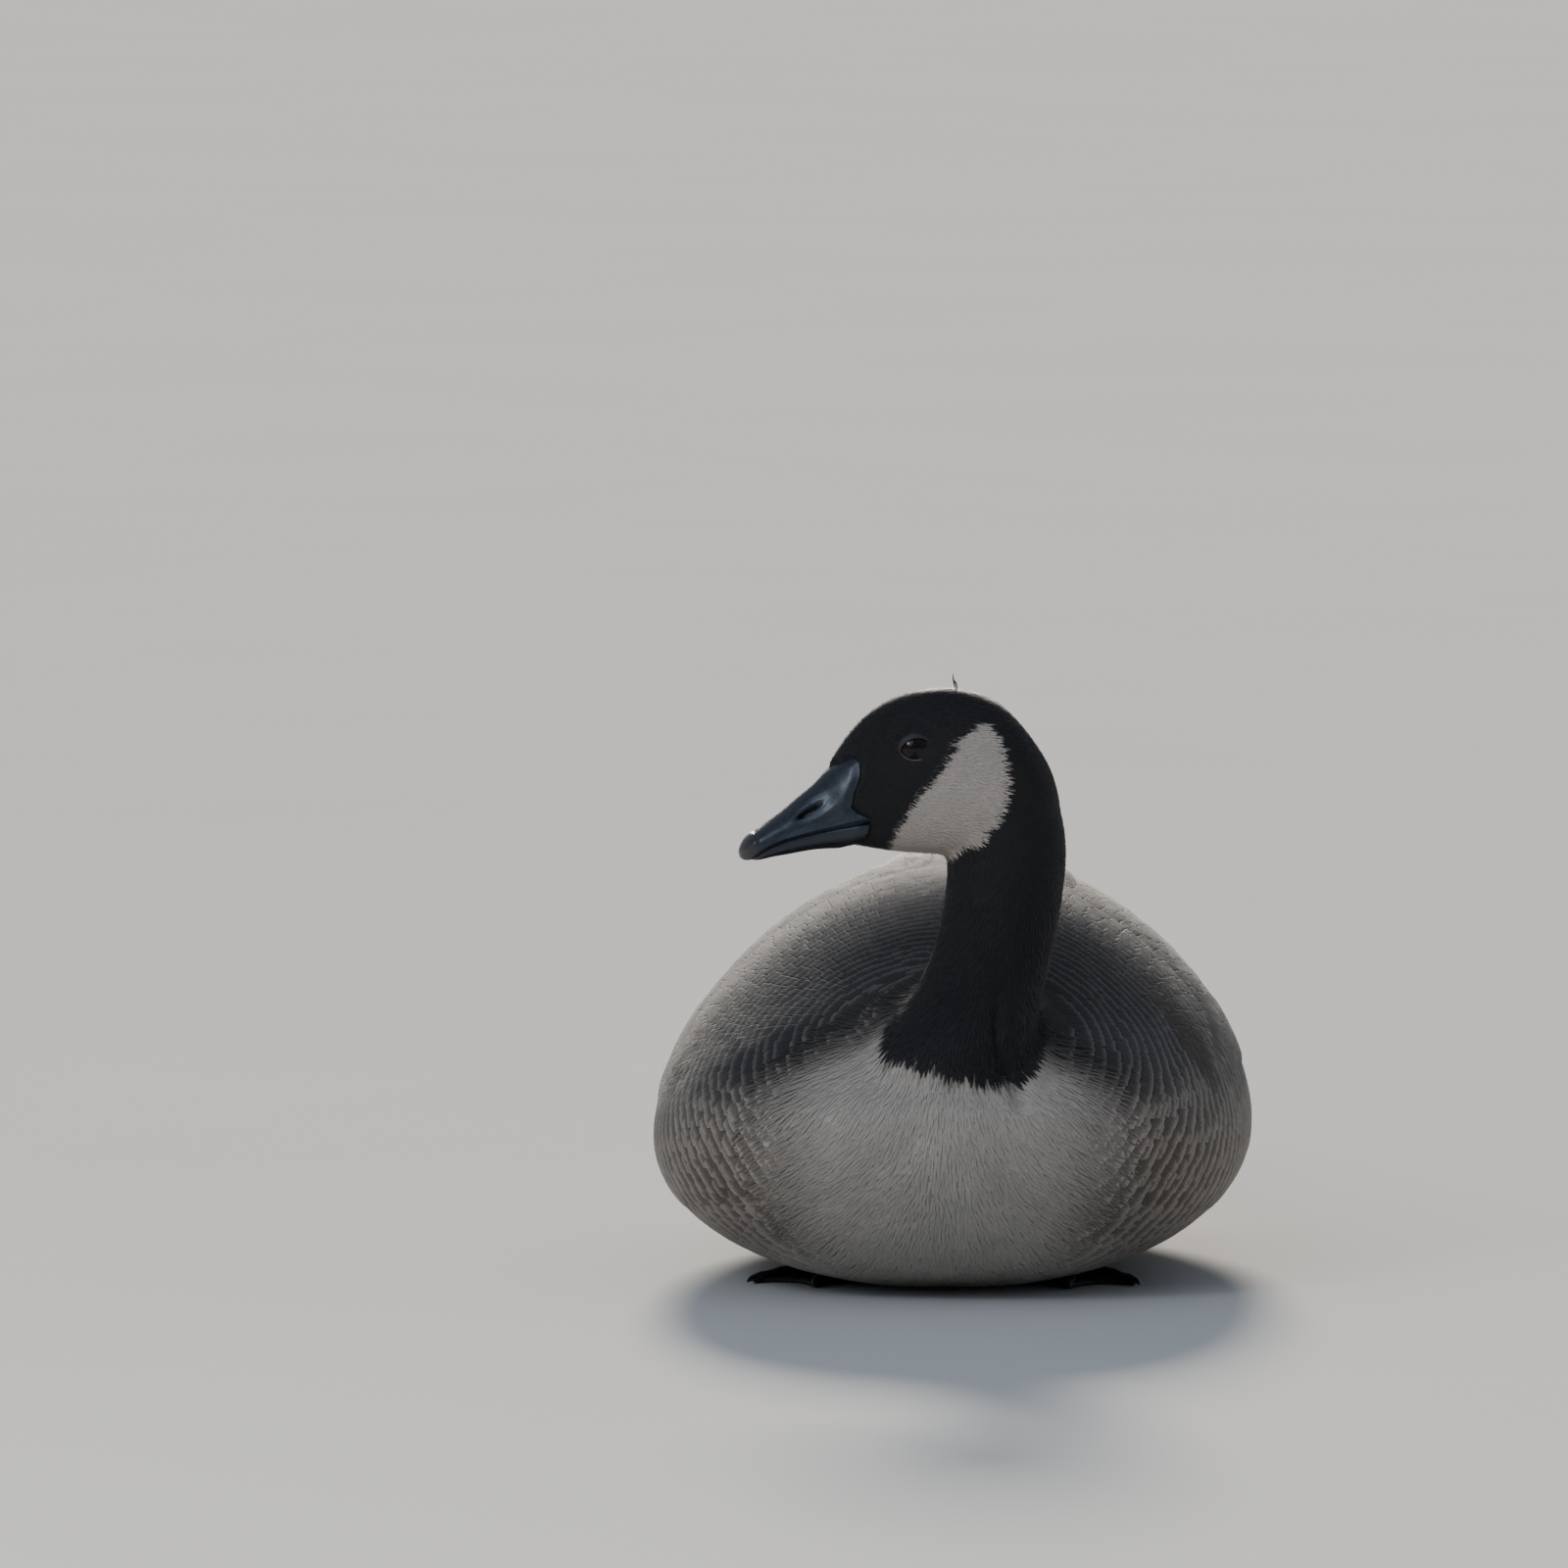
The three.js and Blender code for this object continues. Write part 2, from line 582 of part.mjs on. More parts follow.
function footSolid(side, grow) {
  const ankle = new THREE.Vector3(side * ANKLE.x, ANKLE.y, 2.6);
  const tips = toes.map((toe) => toeTip(side, toe));
  const outline = new THREE.Shape();
  outline.moveTo(ankle.x - side * grow, ankle.y + 4 + grow);
  tips.forEach((tip, i) => {
    const out = tip.clone().sub(ankle).setZ(0).normalize().multiplyScalar(grow);
    if (i === 0) outline.lineTo(tip.x - side * grow + out.x, tip.y + out.y);
    else {
      const before = tips[i - 1];
      const fold = ankle.clone().lerp(before.clone().add(tip).multiplyScalar(0.5), 0.86);
      outline.quadraticCurveTo(fold.x, fold.y - grow, tip.x + out.x, tip.y + out.y);
    }
  });
  outline.lineTo(ankle.x + side * (4 + grow), ankle.y + 4);
  const depth = 1.8 + grow;
  const web = new THREE.ExtrudeGeometry(outline, { depth, bevelEnabled: false, curveSegments: 6 });
  const pieces = [solidFrom(web)];
  tips.forEach((tip) => {
    const end = tip.clone().setZ(1.9);
    pieces.push(limb(ankle, end, SOLE_WIDTH + grow, 2.2 + grow, 8));
    const claw = end.clone().sub(ankle).setZ(0).normalize();
    pieces.push(limb(end, end.clone().addScaledVector(claw, 8), 2 + grow, 0.7 + grow, 6));
  });
  const heel = new THREE.Vector3(side * (ANKLE.x - 7), ANKLE.y + 15, 2.2);
  pieces.push(limb(ankle, heel, 2.4 + grow, 1.2 + grow, 6));
  return fuse(pieces).subtract(floorBlock());
}

function legSolid(side, grow) {
  const hock = new THREE.Vector3(side * 46, 84, 6.3);
  const ankle = new THREE.Vector3(side * ANKLE.x, ANKLE.y + 1, 4.8);
  return fuse([
    limb(hock, ankle, 6 + grow, 4.4 + grow, 10),
    limb(hock, new THREE.Vector3(side * 46.5, 91, 8.5), 6 + grow, 4 + grow, 10),
  ]).subtract(floorBlock());
}

// Assembly

const finishes = {
  grey: { color: 0x8d857b, roughness: 0.85 },
  brown: { color: 0x6f6459, roughness: 0.8 },
  black: { color: 0x17161a, roughness: 0.75 },
  horn: { color: 0x1b1c20, roughness: 0.35 },
  eye: { color: 0x0b0807, roughness: 0.05 },
  skin: { color: 0x232322, roughness: 0.6 },
};

function nodeMesh(name, solid, finish) {
  const made = solid.getMesh();
  const geometry = new THREE.BufferGeometry()
    .setAttribute("position", new THREE.BufferAttribute(new Float32Array(made.vertProperties), 3))
    .setIndex(new THREE.BufferAttribute(made.triVerts, 1));
  geometry.computeVertexNormals();
  const material = new THREE.MeshStandardMaterial({ ...finishes[finish], metalness: 0 });
  const mesh = new THREE.Mesh(geometry, material);
  mesh.name = name;
  return mesh;
}

const goose = new THREE.Group();
const headGroup = new THREE.Group();
headGroup.position.copy(HEAD_AT);
headGroup.rotation.set(HEAD_NOD, 0, -HEAD_TURN, "ZXY");
headGroup.updateMatrix();
goose.add(headGroup);

const sides = Object.entries(SIDES);
const grownTorso = torsoSolid(GAP);
const pockets = fuse(sides.flatMap(([, side]) => [footSolid(side, GAP), legSolid(side, GAP)]));
const wholeNeck = neckSolid();
const belowCollar = halfSpace(COLLAR, COLLAR_SLOPE, true);
const aboveCollar = halfSpace(COLLAR.clone().setZ(COLLAR.z + GAP), COLLAR_SLOPE, false);
const napeLevel = new THREE.Vector3(0, -130, NAPE_CUT);
const collared = fuse([torsoSolid(0), wholeNeck.intersect(belowCollar)]);
const freeNeck = wholeNeck.intersect(aboveCollar).subtract(grownTorso);
const headTop = wholeNeck.intersect(halfSpace(napeLevel.clone().setZ(NAPE_CUT + GAP), 0, false));
const toHead = headGroup.matrix.clone().invert().toArray();

goose.add(nodeMesh("torso", largest(collared.subtract(pockets)), "grey"));
goose.add(nodeMesh("neck", largest(freeNeck.intersect(halfSpace(napeLevel, 0, true))), "black"));
goose.add(nodeMesh("tail", largest(fuse([tailCore(), ...rectrices()]).subtract(grownTorso)), "black"));
for (const [name, side] of sides) {
  goose.add(nodeMesh(`wing_${name}`, wingSolid(side, grownTorso), "brown"));
  goose.add(nodeMesh(`foot_${name}`, largest(footSolid(side, 0)), "skin"));
  goose.add(nodeMesh(`leg_${name}`, largest(legSolid(side, 0).subtract(footSolid(side, GAP))), "skin"));
  headGroup.add(nodeMesh(`eye_${name}`, eyeSolid(side, 0), "eye"));
}

const cuts = fuse([
  upperBill(GAP), lowerBill(GAP),
  ...sides.flatMap(([, side]) => [eyeSolid(side, GAP), lidOpening(side), gapeCrease(side)]),
]);
const lids = sides.map(([, side]) => eyeSolid(side, LID + GAP));
const skull = fuse([headShell(0), headTop.transform(toHead), ...lids]);
headGroup.add(nodeMesh("head", largest(skull.subtract(cuts)), "black"));
const nostrils = fuse(sides.map(([, side]) => nostril(side)));
headGroup.add(nodeMesh("bill_upper", largest(upperBill(0).subtract(nostrils)), "horn"));
headGroup.add(nodeMesh("bill_lower", largest(lowerBill(0).subtract(upperBill(GAP))), "horn"));

export default goose;
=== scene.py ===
import math
import time

import bpy
import bmesh
import numpy as np
from mathutils import Matrix, Vector
from mathutils.bvhtree import BVHTree


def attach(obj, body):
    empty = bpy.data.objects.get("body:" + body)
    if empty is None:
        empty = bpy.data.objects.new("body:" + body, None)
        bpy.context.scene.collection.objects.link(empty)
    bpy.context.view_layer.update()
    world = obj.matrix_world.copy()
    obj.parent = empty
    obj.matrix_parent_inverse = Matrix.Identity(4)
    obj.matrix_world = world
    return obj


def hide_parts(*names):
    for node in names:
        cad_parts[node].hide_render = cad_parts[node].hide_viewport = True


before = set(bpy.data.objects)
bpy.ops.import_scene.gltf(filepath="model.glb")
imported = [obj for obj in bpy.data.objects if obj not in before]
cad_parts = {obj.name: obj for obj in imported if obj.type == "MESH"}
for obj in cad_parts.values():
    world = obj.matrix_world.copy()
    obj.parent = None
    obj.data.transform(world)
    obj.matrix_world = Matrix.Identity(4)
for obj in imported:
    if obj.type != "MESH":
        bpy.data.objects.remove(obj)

startedAt = time.time()
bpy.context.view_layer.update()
mm = 0.001
dice = np.random.default_rng(20)


def say(stage, obj=None):
    size = f", {sum(len(face.vertices) - 2 for face in obj.data.polygons)} triangles" if obj else ""
    print(f"[goose] {stage}{size}, {time.time() - startedAt:.0f} s")


# shape tables in mm: place along, half width, top, bottom, height of the widest point
torsoRows = np.array([
    [-188, 84, 104, 34, 80], [-150, 96, 120, 17, 72], [-110, 112, 136, 4, 66], [-60, 122, 153, -3, 61],
    [0, 125.5, 166, -4, 60], [60, 124, 171, -4, 61], [120, 116, 167, -2, 64], [180, 97, 153, 8, 70],
    [230, 72, 133, 28, 78], [270, 47, 113, 54, 85], [302, 30, 101, 74, 89]])
tailRows = np.array([
    [246, 31, 113, 64, 88], [280, 32, 107, 73, 91], [315, 31, 102, 82, 93], [350, 25, 98, 90, 94]])
headRows = np.array([
    [-40, 10.4, 0, -27, -14], [-33, 13.2, 5.6, -31.3, -15.5], [-25, 16.3, 12.6, -35, -16.5],
    [-15, 19, 19.2, -39.3, -17], [0, 21.5, 23.7, -44.3, -17.5], [15, 23, 23, -49, -18],
    [30, 23.8, 18, -54, -20], [42, 23.4, 8.5, -57, -24], [55, 21, -6, -57, -30]])
upperBillRows = np.array([
    [-80, 7.2, -18.8, -28.2, -22.8], [-76, 8.8, -16.6, -26, -21], [-68, 10, -13.6, -22.9, -19.4],
    [-58, 10.9, -9.9, -21.8, -18.8], [-50, 11.7, -6.2, -22, -18.5], [-40, 12.9, -1.3, -22.9, -18],
    [-33, 14.8, 4, -23.4, -17.5], [-24, 17.2, 11, -23.8, -17]])
lowerBillRows = np.array([
    [-76, 6.4, -24, -27.2, -25.4], [-70, 7.8, -22.4, -27, -24.8], [-60, 8.9, -20.5, -27.6, -24.2],
    [-48, 10.3, -20.5, -28.8, -24.6], [-38, 12.2, -21, -31, -25], [-27, 15.2, -22, -33.8, -25.5]])
# level sections of the neck: height, centre x, centre y, half width, half depth
neckRows = np.array([
    [66, 0, -116, 62, 53], [85, 1.5, -129, 49, 49], [97, 3.5, -137.5, 41, 43], [107.5, 7, -140.5, 35.3, 37.5],
    [121.5, 14, -139.5, 29, 33], [135, 20.3, -136, 26, 29.5], [150.5, 24.8, -132.5, 24.7, 27],
    [172, 28.5, -129, 24.5, 25], [190, 29.4, -128, 24.6, 24], [210, 28, -128, 21.5, 22],
    [224, 23, -129, 16, 18]])
# degrees from the culmen, and how far back the horn of the bill reaches there
billBorder = np.array([[0, -34.6], [14, -31], [27, -24.5], [34, -22.7], [46, -24.5], [60, -29], [78, -31.7],
                       [92, -30], [104, -25.7], [113, -25.7], [130, -29], [150, -34], [180, -37]])

torso = {"powers": (1.78, 2.1), "breast": -188, "rump": 302, "breastRound": 62, "rumpRound": 20, "coat": 2.6}
tailRoot = {"powers": (2, 2), "start": 246, "end": 346, "coat": 2.2}
neck = {"coat": 0.5, "low": 66, "high": 222, "creaseDepth": 3.4, "creaseWidth": 2.4}
head = {"powers": (2.05, 2.2), "front": -40, "nape": 55, "napeRound": 17, "coat": 0.3,
        "turn": math.radians(78), "nod": math.radians(14.5)}
headPlace = (Matrix.Translation((-10, -136.5, 229)) @ Matrix.Rotation(-head["turn"], 4, "Z")
             @ Matrix.Rotation(head["nod"], 4, "X"))
headSpin = np.array(headPlace.to_3x3())
headAt = np.array(headPlace.translation)
eye = {"radius": 8.2, "x": 12.3, "z": 2.4, "length": 12.4, "height": 9.4, "tilt": math.radians(-6)}


def toHead(points):
    return (points - headAt) @ headSpin


def fromHead(points):
    return points @ headSpin.T + headAt


def smooth(x, low, high):
    t = np.clip((x - low) / (high - low), 0, 1)
    return t * t * (3 - 2 * t)


def bell(x, middle, width):
    return np.exp(-((x - middle) / width) ** 2)


def stretch(x, rise, fall):
    # 1 from the end of the rise to the start of the fall
    return smooth(x, *rise) * (1 - smooth(x, *fall))


def unit(v):
    return v / np.maximum(np.linalg.norm(v, axis=-1, keepdims=True), 1e-9)


def dot(a, b):
    return (a * b).sum(-1, keepdims=True)


def fullTurn(count):
    # angles once round, evenly spread
    return np.linspace(0, 2 * math.pi, count, endpoint=False)[None]


def reader(rows, column):
    # smooth value of one column anywhere between the rows
    at, value = rows[:, 0], rows[:, column]
    cut = np.diff(value) / np.diff(at)
    slope = np.concatenate([cut[:1], (cut[1:] + cut[:-1]) / 2, cut[-1:]])

    def read(x):
        x = np.clip(x, at[0], at[-1])
        i = np.clip(np.searchsorted(at, x) - 1, 0, len(at) - 2)
        span = at[i + 1] - at[i]
        t = (x - at[i]) / span
        bend = t * (1 - t) * span * ((1 - t) * slope[i] - t * slope[i + 1])
        return value[i] + (value[i + 1] - value[i]) * t * t * (3 - 2 * t) + bend
    return read


def sectionOf(rows, powers):
    half, top, bottom, wide = (reader(rows, k) for k in (1, 2, 3, 4))

    def point(at, angle):
        s, c = np.sin(angle), np.cos(angle)
        power = np.where(c > 0, powers[0], powers[1])
        middle = wide(at)
        end = np.where(c > 0, top(at), bottom(at))
        x = half(at) * np.sign(s) * np.abs(s) ** (2 / power)
        z = middle + (end - middle) * np.abs(c) ** (2 / power)
        return np.stack([x, at + 0 * x, z], -1)
    return point, wide


domeSection, domeWide = sectionOf(torsoRows, torso["powers"])
headSection, headWide = sectionOf(headRows, head["powers"])
neckX, neckY, neckAcross, neckAlong = (reader(neckRows, k) for k in (1, 2, 3, 4))


def domePoint(y, angle, lift=0.0):
    # a point of the outline of body and folded wings, angle 0 at the top of the back
    y, angle = np.broadcast_arrays(np.asarray(y, float), np.asarray(angle, float))
    around = domeSection(y, angle + 0.01) - domeSection(y, angle - 0.01)
    along = domeSection(y + 1, angle) - domeSection(y - 1, angle)
    return domeSection(y, angle) - unit(np.cross(along, around)) * np.asarray(lift)[..., None]


def meshFrom(name, points, faces):
    made = bpy.data.meshes.new(name)
    made.from_pydata((np.asarray(points) * mm).tolist(), [], faces)
    made.polygons.foreach_set("use_smooth", [True] * len(made.polygons))
    made.update()
    obj = bpy.data.objects.new(name, made)
    bpy.context.scene.collection.objects.link(obj)
    return obj


def faceOutwards(obj):
    cage = bmesh.new()
    cage.from_mesh(obj.data)
    bmesh.ops.recalc_face_normals(cage, faces=cage.faces)
    cage.to_mesh(obj.data)
    cage.free()
    return obj


def loft(name, rings, first, last):
    # closed skin over rings of points
    count, sides = rings.shape[:2]
    points = np.concatenate([rings.reshape(-1, 3), [first, last]])
    faces = []
    for j in range(sides):
        k = (j + 1) % sides
        faces.append((count * sides, k, j))
        faces.append((count * sides + 1, (count - 1) * sides + j, (count - 1) * sides + k))
        for i in range(count - 1):
            a, b = i * sides, (i + 1) * sides
            faces.append((a + j, a + k, b + k, b + j))
    return faceOutwards(meshFrom(name, points, faces))


def loftInHead(name, rings, first, last):
    # the same for rings in the head's own frame
    flat = fromHead(np.concatenate([rings.reshape(-1, 3), [first, last]]))
    return loft(name, flat[:-2].reshape(rings.shape), flat[-2], flat[-1])


def select(objs):
    bpy.ops.object.select_all(action="DESELECT")
    for obj in objs:
        obj.select_set(True)
    bpy.context.view_layer.objects.active = objs[0]


def join(objs, name):
    select(objs)
    bpy.ops.object.join()
    objs[0].name = name
    objs[0].data.name = name
    return objs[0]


def applyModifier(obj, kind, **settings):
    modifier = obj.modifiers.new(kind.lower(), kind)
    for key, value in settings.items():
        setattr(modifier, key, value)
    bpy.context.view_layer.objects.active = obj
    bpy.ops.object.modifier_apply(modifier=modifier.name)


def readVectors(obj, source):
    flat = np.empty(len(obj.data.vertices) * 3)
    obj.data.vertices.foreach_get(source, flat)
    return flat.reshape(-1, 3)


def coordinates(obj):
    return readVectors(obj, "co") / mm


def setCoordinates(obj, points):
    obj.data.vertices.foreach_set("co", (points * mm).ravel())
    obj.data.update()


def putAttribute(obj, name, kind, values):
    attribute = obj.data.attributes.new(name, kind, "POINT")
    values = np.asarray(values, np.float32)
    if kind == "FLOAT_COLOR":
        values = np.concatenate([values, np.ones((len(values), 1), np.float32)], 1)
        attribute.data.foreach_set("color", values.ravel())
    else:
        attribute.data.foreach_set("vector", values.ravel())


# the skin under the feathers

def torsoPoint(y, angle):
    # a point of the torso's skin, rounded off towards breast and rump
    front = np.clip(1 - (y - torso["breast"]) / torso["breastRound"], 0, 1)
    back = np.clip(1 - (torso["rump"] - y) / torso["rumpRound"], 0, 1)
    heart = np.stack([0 * y, y, domeWide(y)], -1)
    share = np.sqrt((1 - front ** 2) * (1 - back ** 2))[..., None]
    return heart + (domePoint(y, angle, -torso["coat"]) - heart) * share


def torsoLoft():
    front, back, coat = torso["breast"], torso["rump"], torso["coat"]
    y = front + (back - front) * (np.arange(1, 90) / 90)[:, None] ** 1.25  # closer rings at the breast
    rings = torsoPoint(y, fullTurn(96))
    return loft("torsoSkin", rings, (0, front + coat, domeWide(front)), (0, back - coat, domeWide(back)))


def tailLoft():
    section, wide = sectionOf(tailRows, tailRoot["powers"])
    y = np.linspace(tailRoot["start"], tailRoot["end"], 30)[:, None]
    heart = np.stack([0 * y, y, wide(y)], -1)
    rings = section(y, fullTurn(48))
    rings = rings - unit(rings - heart) * tailRoot["coat"]
    return loft("tailSkin", rings, rings[0].mean(0), rings[-1].mean(0))


def neckLoft():
    z = np.linspace(neck["low"], neck["high"], 48)[:, None]
    angle = fullTurn(64)
    coat = neck["coat"]
    rings = np.stack([neckX(z) + (neckAcross(z) - coat) * np.cos(angle),
                      neckY(z) + (neckAlong(z) - coat) * np.sin(angle), z + 0 * angle], -1)
    return loft("neckSkin", rings, rings[0].mean(0), rings[-1].mean(0))


def headLoft():
    y = np.linspace(head["front"], head["nape"] - 1, 70)[:, None]
    curl = np.clip(1 - (head["nape"] - y) / head["napeRound"], 0, 1)
    heart = np.stack([0 * y, y, headWide(y)], -1)
    rings = heart + (headSection(y, fullTurn(80)) - heart) * np.sqrt(1 - curl ** 2)[..., None]
    rings = rings - unit(rings - heart) * head["coat"]
    nape = np.array([0, head["nape"] - head["coat"], float(headWide(head["nape"]))])
    return loftInHead("headSkin", rings, rings[0].mean(0), nape)


def eyeMiss(points, margin):
    # over 1 where a point is clear of both eye openings
    local = toHead(points)
    along = local[:, 1] / (eye["length"] / 2 + margin)
    return np.hypot(along, (local[:, 2] - eye["z"]) / (eye["height"] / 2 + margin))


def billEdge(x, z):
    # how far back the horn reaches at this side of the head
    around = np.degrees(np.arctan2(np.abs(x), z + 17))
    return np.interp(around, billBorder[:, 0], billBorder[:, 1])


def behindBill(points):
    # how far a point lies behind the edge of the horn
    local = toHead(points)
    return local[:, 1] - billEdge(local[:, 0], local[:, 2])


creases = {"headFrom": 175, "gapeDepth": 0.9, "gapeWidth": 1.1, "jawDepth": 0.5, "jawHeight": -46,
           "jawWidth": 2.5, "hornRoom": 1.5, "lidReach": 8.9, "lidHigh": 1.6}


def folds(points, normals):
    # depth of the skin's creases: down the side of the neck, behind the gape and under the jaw
    x, y, z = points.T
    middle = 27.5 + 9 * smooth(-z, -112, -84)
    side = neck["creaseDepth"] * bell(x, middle, neck["creaseWidth"]) - 0.9 * bell(x, middle + 6.5, 4.5)
    depth = side * (stretch(z, (80, 92), (118, 140)) * smooth(-normals[:, 1], 0.2, 0.6))
    local = toHead(points)
    across, along, height = local.T
    onFace = z > creases["headFrom"]
    gape = -24.6 - 0.28 * (along + 26)
    corner = creases["gapeDepth"] * stretch(along, (-31, -28), (-22, -15))
    depth += corner * bell(height, gape, creases["gapeWidth"]) * onFace * (np.abs(across) > 8)
    jaw = creases["jawDepth"] * stretch(along, (4, 14), (30, 40))
    depth += jaw * bell(height, creases["jawHeight"], creases["jawWidth"]) * onFace
    depth += creases["hornRoom"] * (1 - smooth(behindBill(points), -1.2, 0.2)) * onFace
    fromEye = np.linalg.norm(np.stack([np.abs(across) - eye["x"], along, height - eye["z"]]), axis=0)
    lids = np.clip(creases["lidReach"] - fromEye, 0, creases["lidHigh"])
    return depth - lids * smooth(eyeMiss(points, 0.3), 0.9, 1.1)


skinLook = {"voxel": 0.0023, "soften": 0.5, "rounds": 7, "rest": 0.35}  # it rests flat on the belly


def makeSkin():
    obj = join([torsoLoft(), tailLoft(), neckLoft(), headLoft()], "skin")
    applyModifier(obj, "REMESH", mode="VOXEL", voxel_size=skinLook["voxel"], use_smooth_shade=True)
    applyModifier(obj, "SMOOTH", factor=skinLook["soften"], iterations=skinLook["rounds"])
    points, normals = coordinates(obj), readVectors(obj, "normal")
    points = points - normals * folds(points, normals)[:, None]
    points[:, 2] = np.maximum(points[:, 2], skinLook["rest"])
    setCoordinates(obj, points)
    select([obj])
    bpy.ops.object.mode_set(mode="EDIT")
    bpy.ops.mesh.select_all(action="SELECT")
    bpy.ops.uv.smart_project(angle_limit=1.15, island_margin=0.002)
    bpy.ops.object.mode_set(mode="OBJECT")
    obj.data.uv_layers[0].name = "OFBake"
    return obj


skin = makeSkin()
say("skin", skin)
skinPoints = coordinates(skin)
skinNormals = readVectors(skin, "normal")
skinFaces = [tuple(face.vertices) for face in skin.data.polygons]
tree = BVHTree.FromPolygons([Vector(p) for p in skinPoints.tolist()], skinFaces)
flatUv = np.empty(len(skin.data.loops) * 2)
skin.data.uv_layers["OFBake"].data.foreach_get("uv", flatUv)
flatUv = flatUv.reshape(-1, 2)
faceUv = np.array([flatUv[face.loop_start:face.loop_start + face.loop_total].mean(0)
                   for face in skin.data.polygons])
faceCorners = np.array([face[:3] for face in skinFaces])


def onSkin(points):
    # nearest places on the skin, with smooth normals and face numbers
    found = np.empty_like(points)
    index = np.empty(len(points), int)
    for i, p in enumerate(points.tolist()):
        place, _, face, _ = tree.find_nearest(p)
        found[i] = place
        index[i] = face
    corners = faceCorners[index]
    gap = np.linalg.norm(skinPoints[corners] - found[:, None], axis=2) + 1e-3
    return found, unit((skinNormals[corners] / gap[..., None]).sum(1)), index


# which way the feathers lie, and where each marking is

neckRoot = np.array([3.0, -140.0, 105.0])  # the breast feathers spread from here


def fromNeck(points):
    # 1 on the surface of the neck, more outside it
    z = points[:, 2]
    return np.hypot((points[:, 0] - neckX(z)) / neckAcross(z), (points[:, 1] - neckY(z)) / neckAlong(z))


def neckShare(points):
    return (1 - smooth(fromNeck(points), 1.03, 1.4)) * smooth(points[:, 2], 84, 116)


breastPatch = {"middle": 3, "front": -160, "top": 98, "fade": (36, 92)}


def breastShare(points):
    # 1 on the hairy pale breast, 0 where the rippled feathers of the shoulders and flanks begin
    x, y, z = points.T
    away = np.abs(x - breastPatch["middle"]) + 0.9 * np.maximum(y - breastPatch["front"], 0)
    away = away + 1.1 * np.maximum(z - breastPatch["top"], 0)
    return 1 - smooth(away, *breastPatch["fade"])


lies = {"body": (0.0, 0.55, 0.0), "neck": (-0.16, 0.1, -1.0), "head": (0.0, 0.86, -0.42),
        "rump": (0.0, 1.0, -0.04)}


def flowAt(points, normals):
    away = points - neckRoot
    far = smooth(np.linalg.norm(away, axis=1), 120, 260)[:, None]
    lie = unit(away) + np.array(lies["body"]) * far
    for share, way in ((neckShare(points), np.array(lies["neck"])),
                       (smooth(points[:, 2], 172, 198), np.array(lies["head"]) @ headSpin.T),
                       (smooth(points[:, 1], 235, 275), np.array(lies["rump"]))):
        lie = lie * (1 - share[:, None]) + way * share[:, None]
    return unit(lie - normals * dot(lie, normals))


# outline of the cheek patch in the head's own frame: along, height
cheekEdge = np.array([
    [23, 4.4], [26.5, 6.2], [30, 5.2], [32.4, 0.6], [33.4, -5], [33.2, -12], [32.2, -19.5], [29.8, -27],
    [25.6, -33.4], [19, -38.6], [10, -50], [-6, -50], [-20.7, -36], [-15.9, -27.8], [-5.2, -16.5], [2, -11.3],
    [11, -4.1], [16.6, 2.3]])


def insideEdge(y, z, edge, fringe):
    # 1 inside a closed outline and 0 outside it, soft over the fringe
    a, b = edge, np.roll(edge, -1, 0)
    p = np.stack([y, z], -1)[:, None]
    t = np.clip(((p - a) * (b - a)).sum(-1) / ((b - a) ** 2).sum(-1), 0, 1)
    away = np.linalg.norm(p - (a + t[..., None] * (b - a)), axis=-1).min(1)
    crosses = ((a[:, 1] > z[:, None]) != (b[:, 1] > z[:, None])) & (
        y[:, None] < (b[:, 0] - a[:, 0]) * (z[:, None] - a[:, 1]) / (b[:, 1] - a[:, 1] + 1e-9) + a[:, 0])
    sign = np.where(crosses.sum(1) % 2 == 1, 1, -1)
    return smooth(sign * away, -fringe, fringe)


def cheekMask(points):
    along, height = toHead(points)[:, 1:].T
    wave = 0.5 * np.sin(height * 1.1) + 0.4 * np.sin(height * 2.3 + 1)
    patch = insideEdge(along + wave, height, cheekEdge, 0.7)
    level = 184.5 + 5.5 * smooth(along, 3, 11)  # the patch ends where the throat turns into the neck
    return patch * smooth(points[:, 2], level, level + 2)


def blackMask(points):
    # 1 on the black neck and head, down to a ragged hem that rises towards the back
    x, y, z = points.T
    hem = 101 - 0.25 * (x - 5) + 0.62 * np.maximum(y + 168, 0)
    hem = hem + 0.9 * np.sin(x * 0.5) + 0.7 * np.sin(x * 1.3 + 1)
    onNeck = (fromNeck(points) < 1.05) | (z > 165)
    return np.where(onNeck, smooth(z - hem, -1.5, 1.5), 0.0)


def mixed(a, b, share):
    share = np.asarray(share)[..., None]
    return np.asarray(a) * (1 - share) + np.asarray(b) * share


tones = {
    "black": (0.0085, 0.0082, 0.0095), "blackEdge": (0.0115, 0.011, 0.0125),
    "cheek": (0.40, 0.352, 0.315), "cheekEdge": (0.50, 0.45, 0.405),
    "breast": (0.37, 0.332, 0.295), "breastEdge": (0.50, 0.455, 0.405),
    "flank": (0.095, 0.081, 0.070), "flankEdge": (0.25, 0.218, 0.188),
    "back": (0.027, 0.022, 0.019), "backEdge": (0.165, 0.138, 0.113),
    # the mantle tones are the feathers' own dark brown plus painted shade: darker and greyer than the back
    "shadedMantle": (0.020, 0.0185, 0.0195), "shadedMantleEdge": (0.078, 0.071, 0.070),
    # the bend tones are dark coverts plus painted shade of the gap they show in
    "bend": (0.022, 0.0145, 0.0115), "bendShadeEdge": (0.036, 0.025, 0.02),
    "belly": (0.44, 0.40, 0.35), "white": (0.66, 0.64, 0.60), "tail": (0.016, 0.0145, 0.0145)}


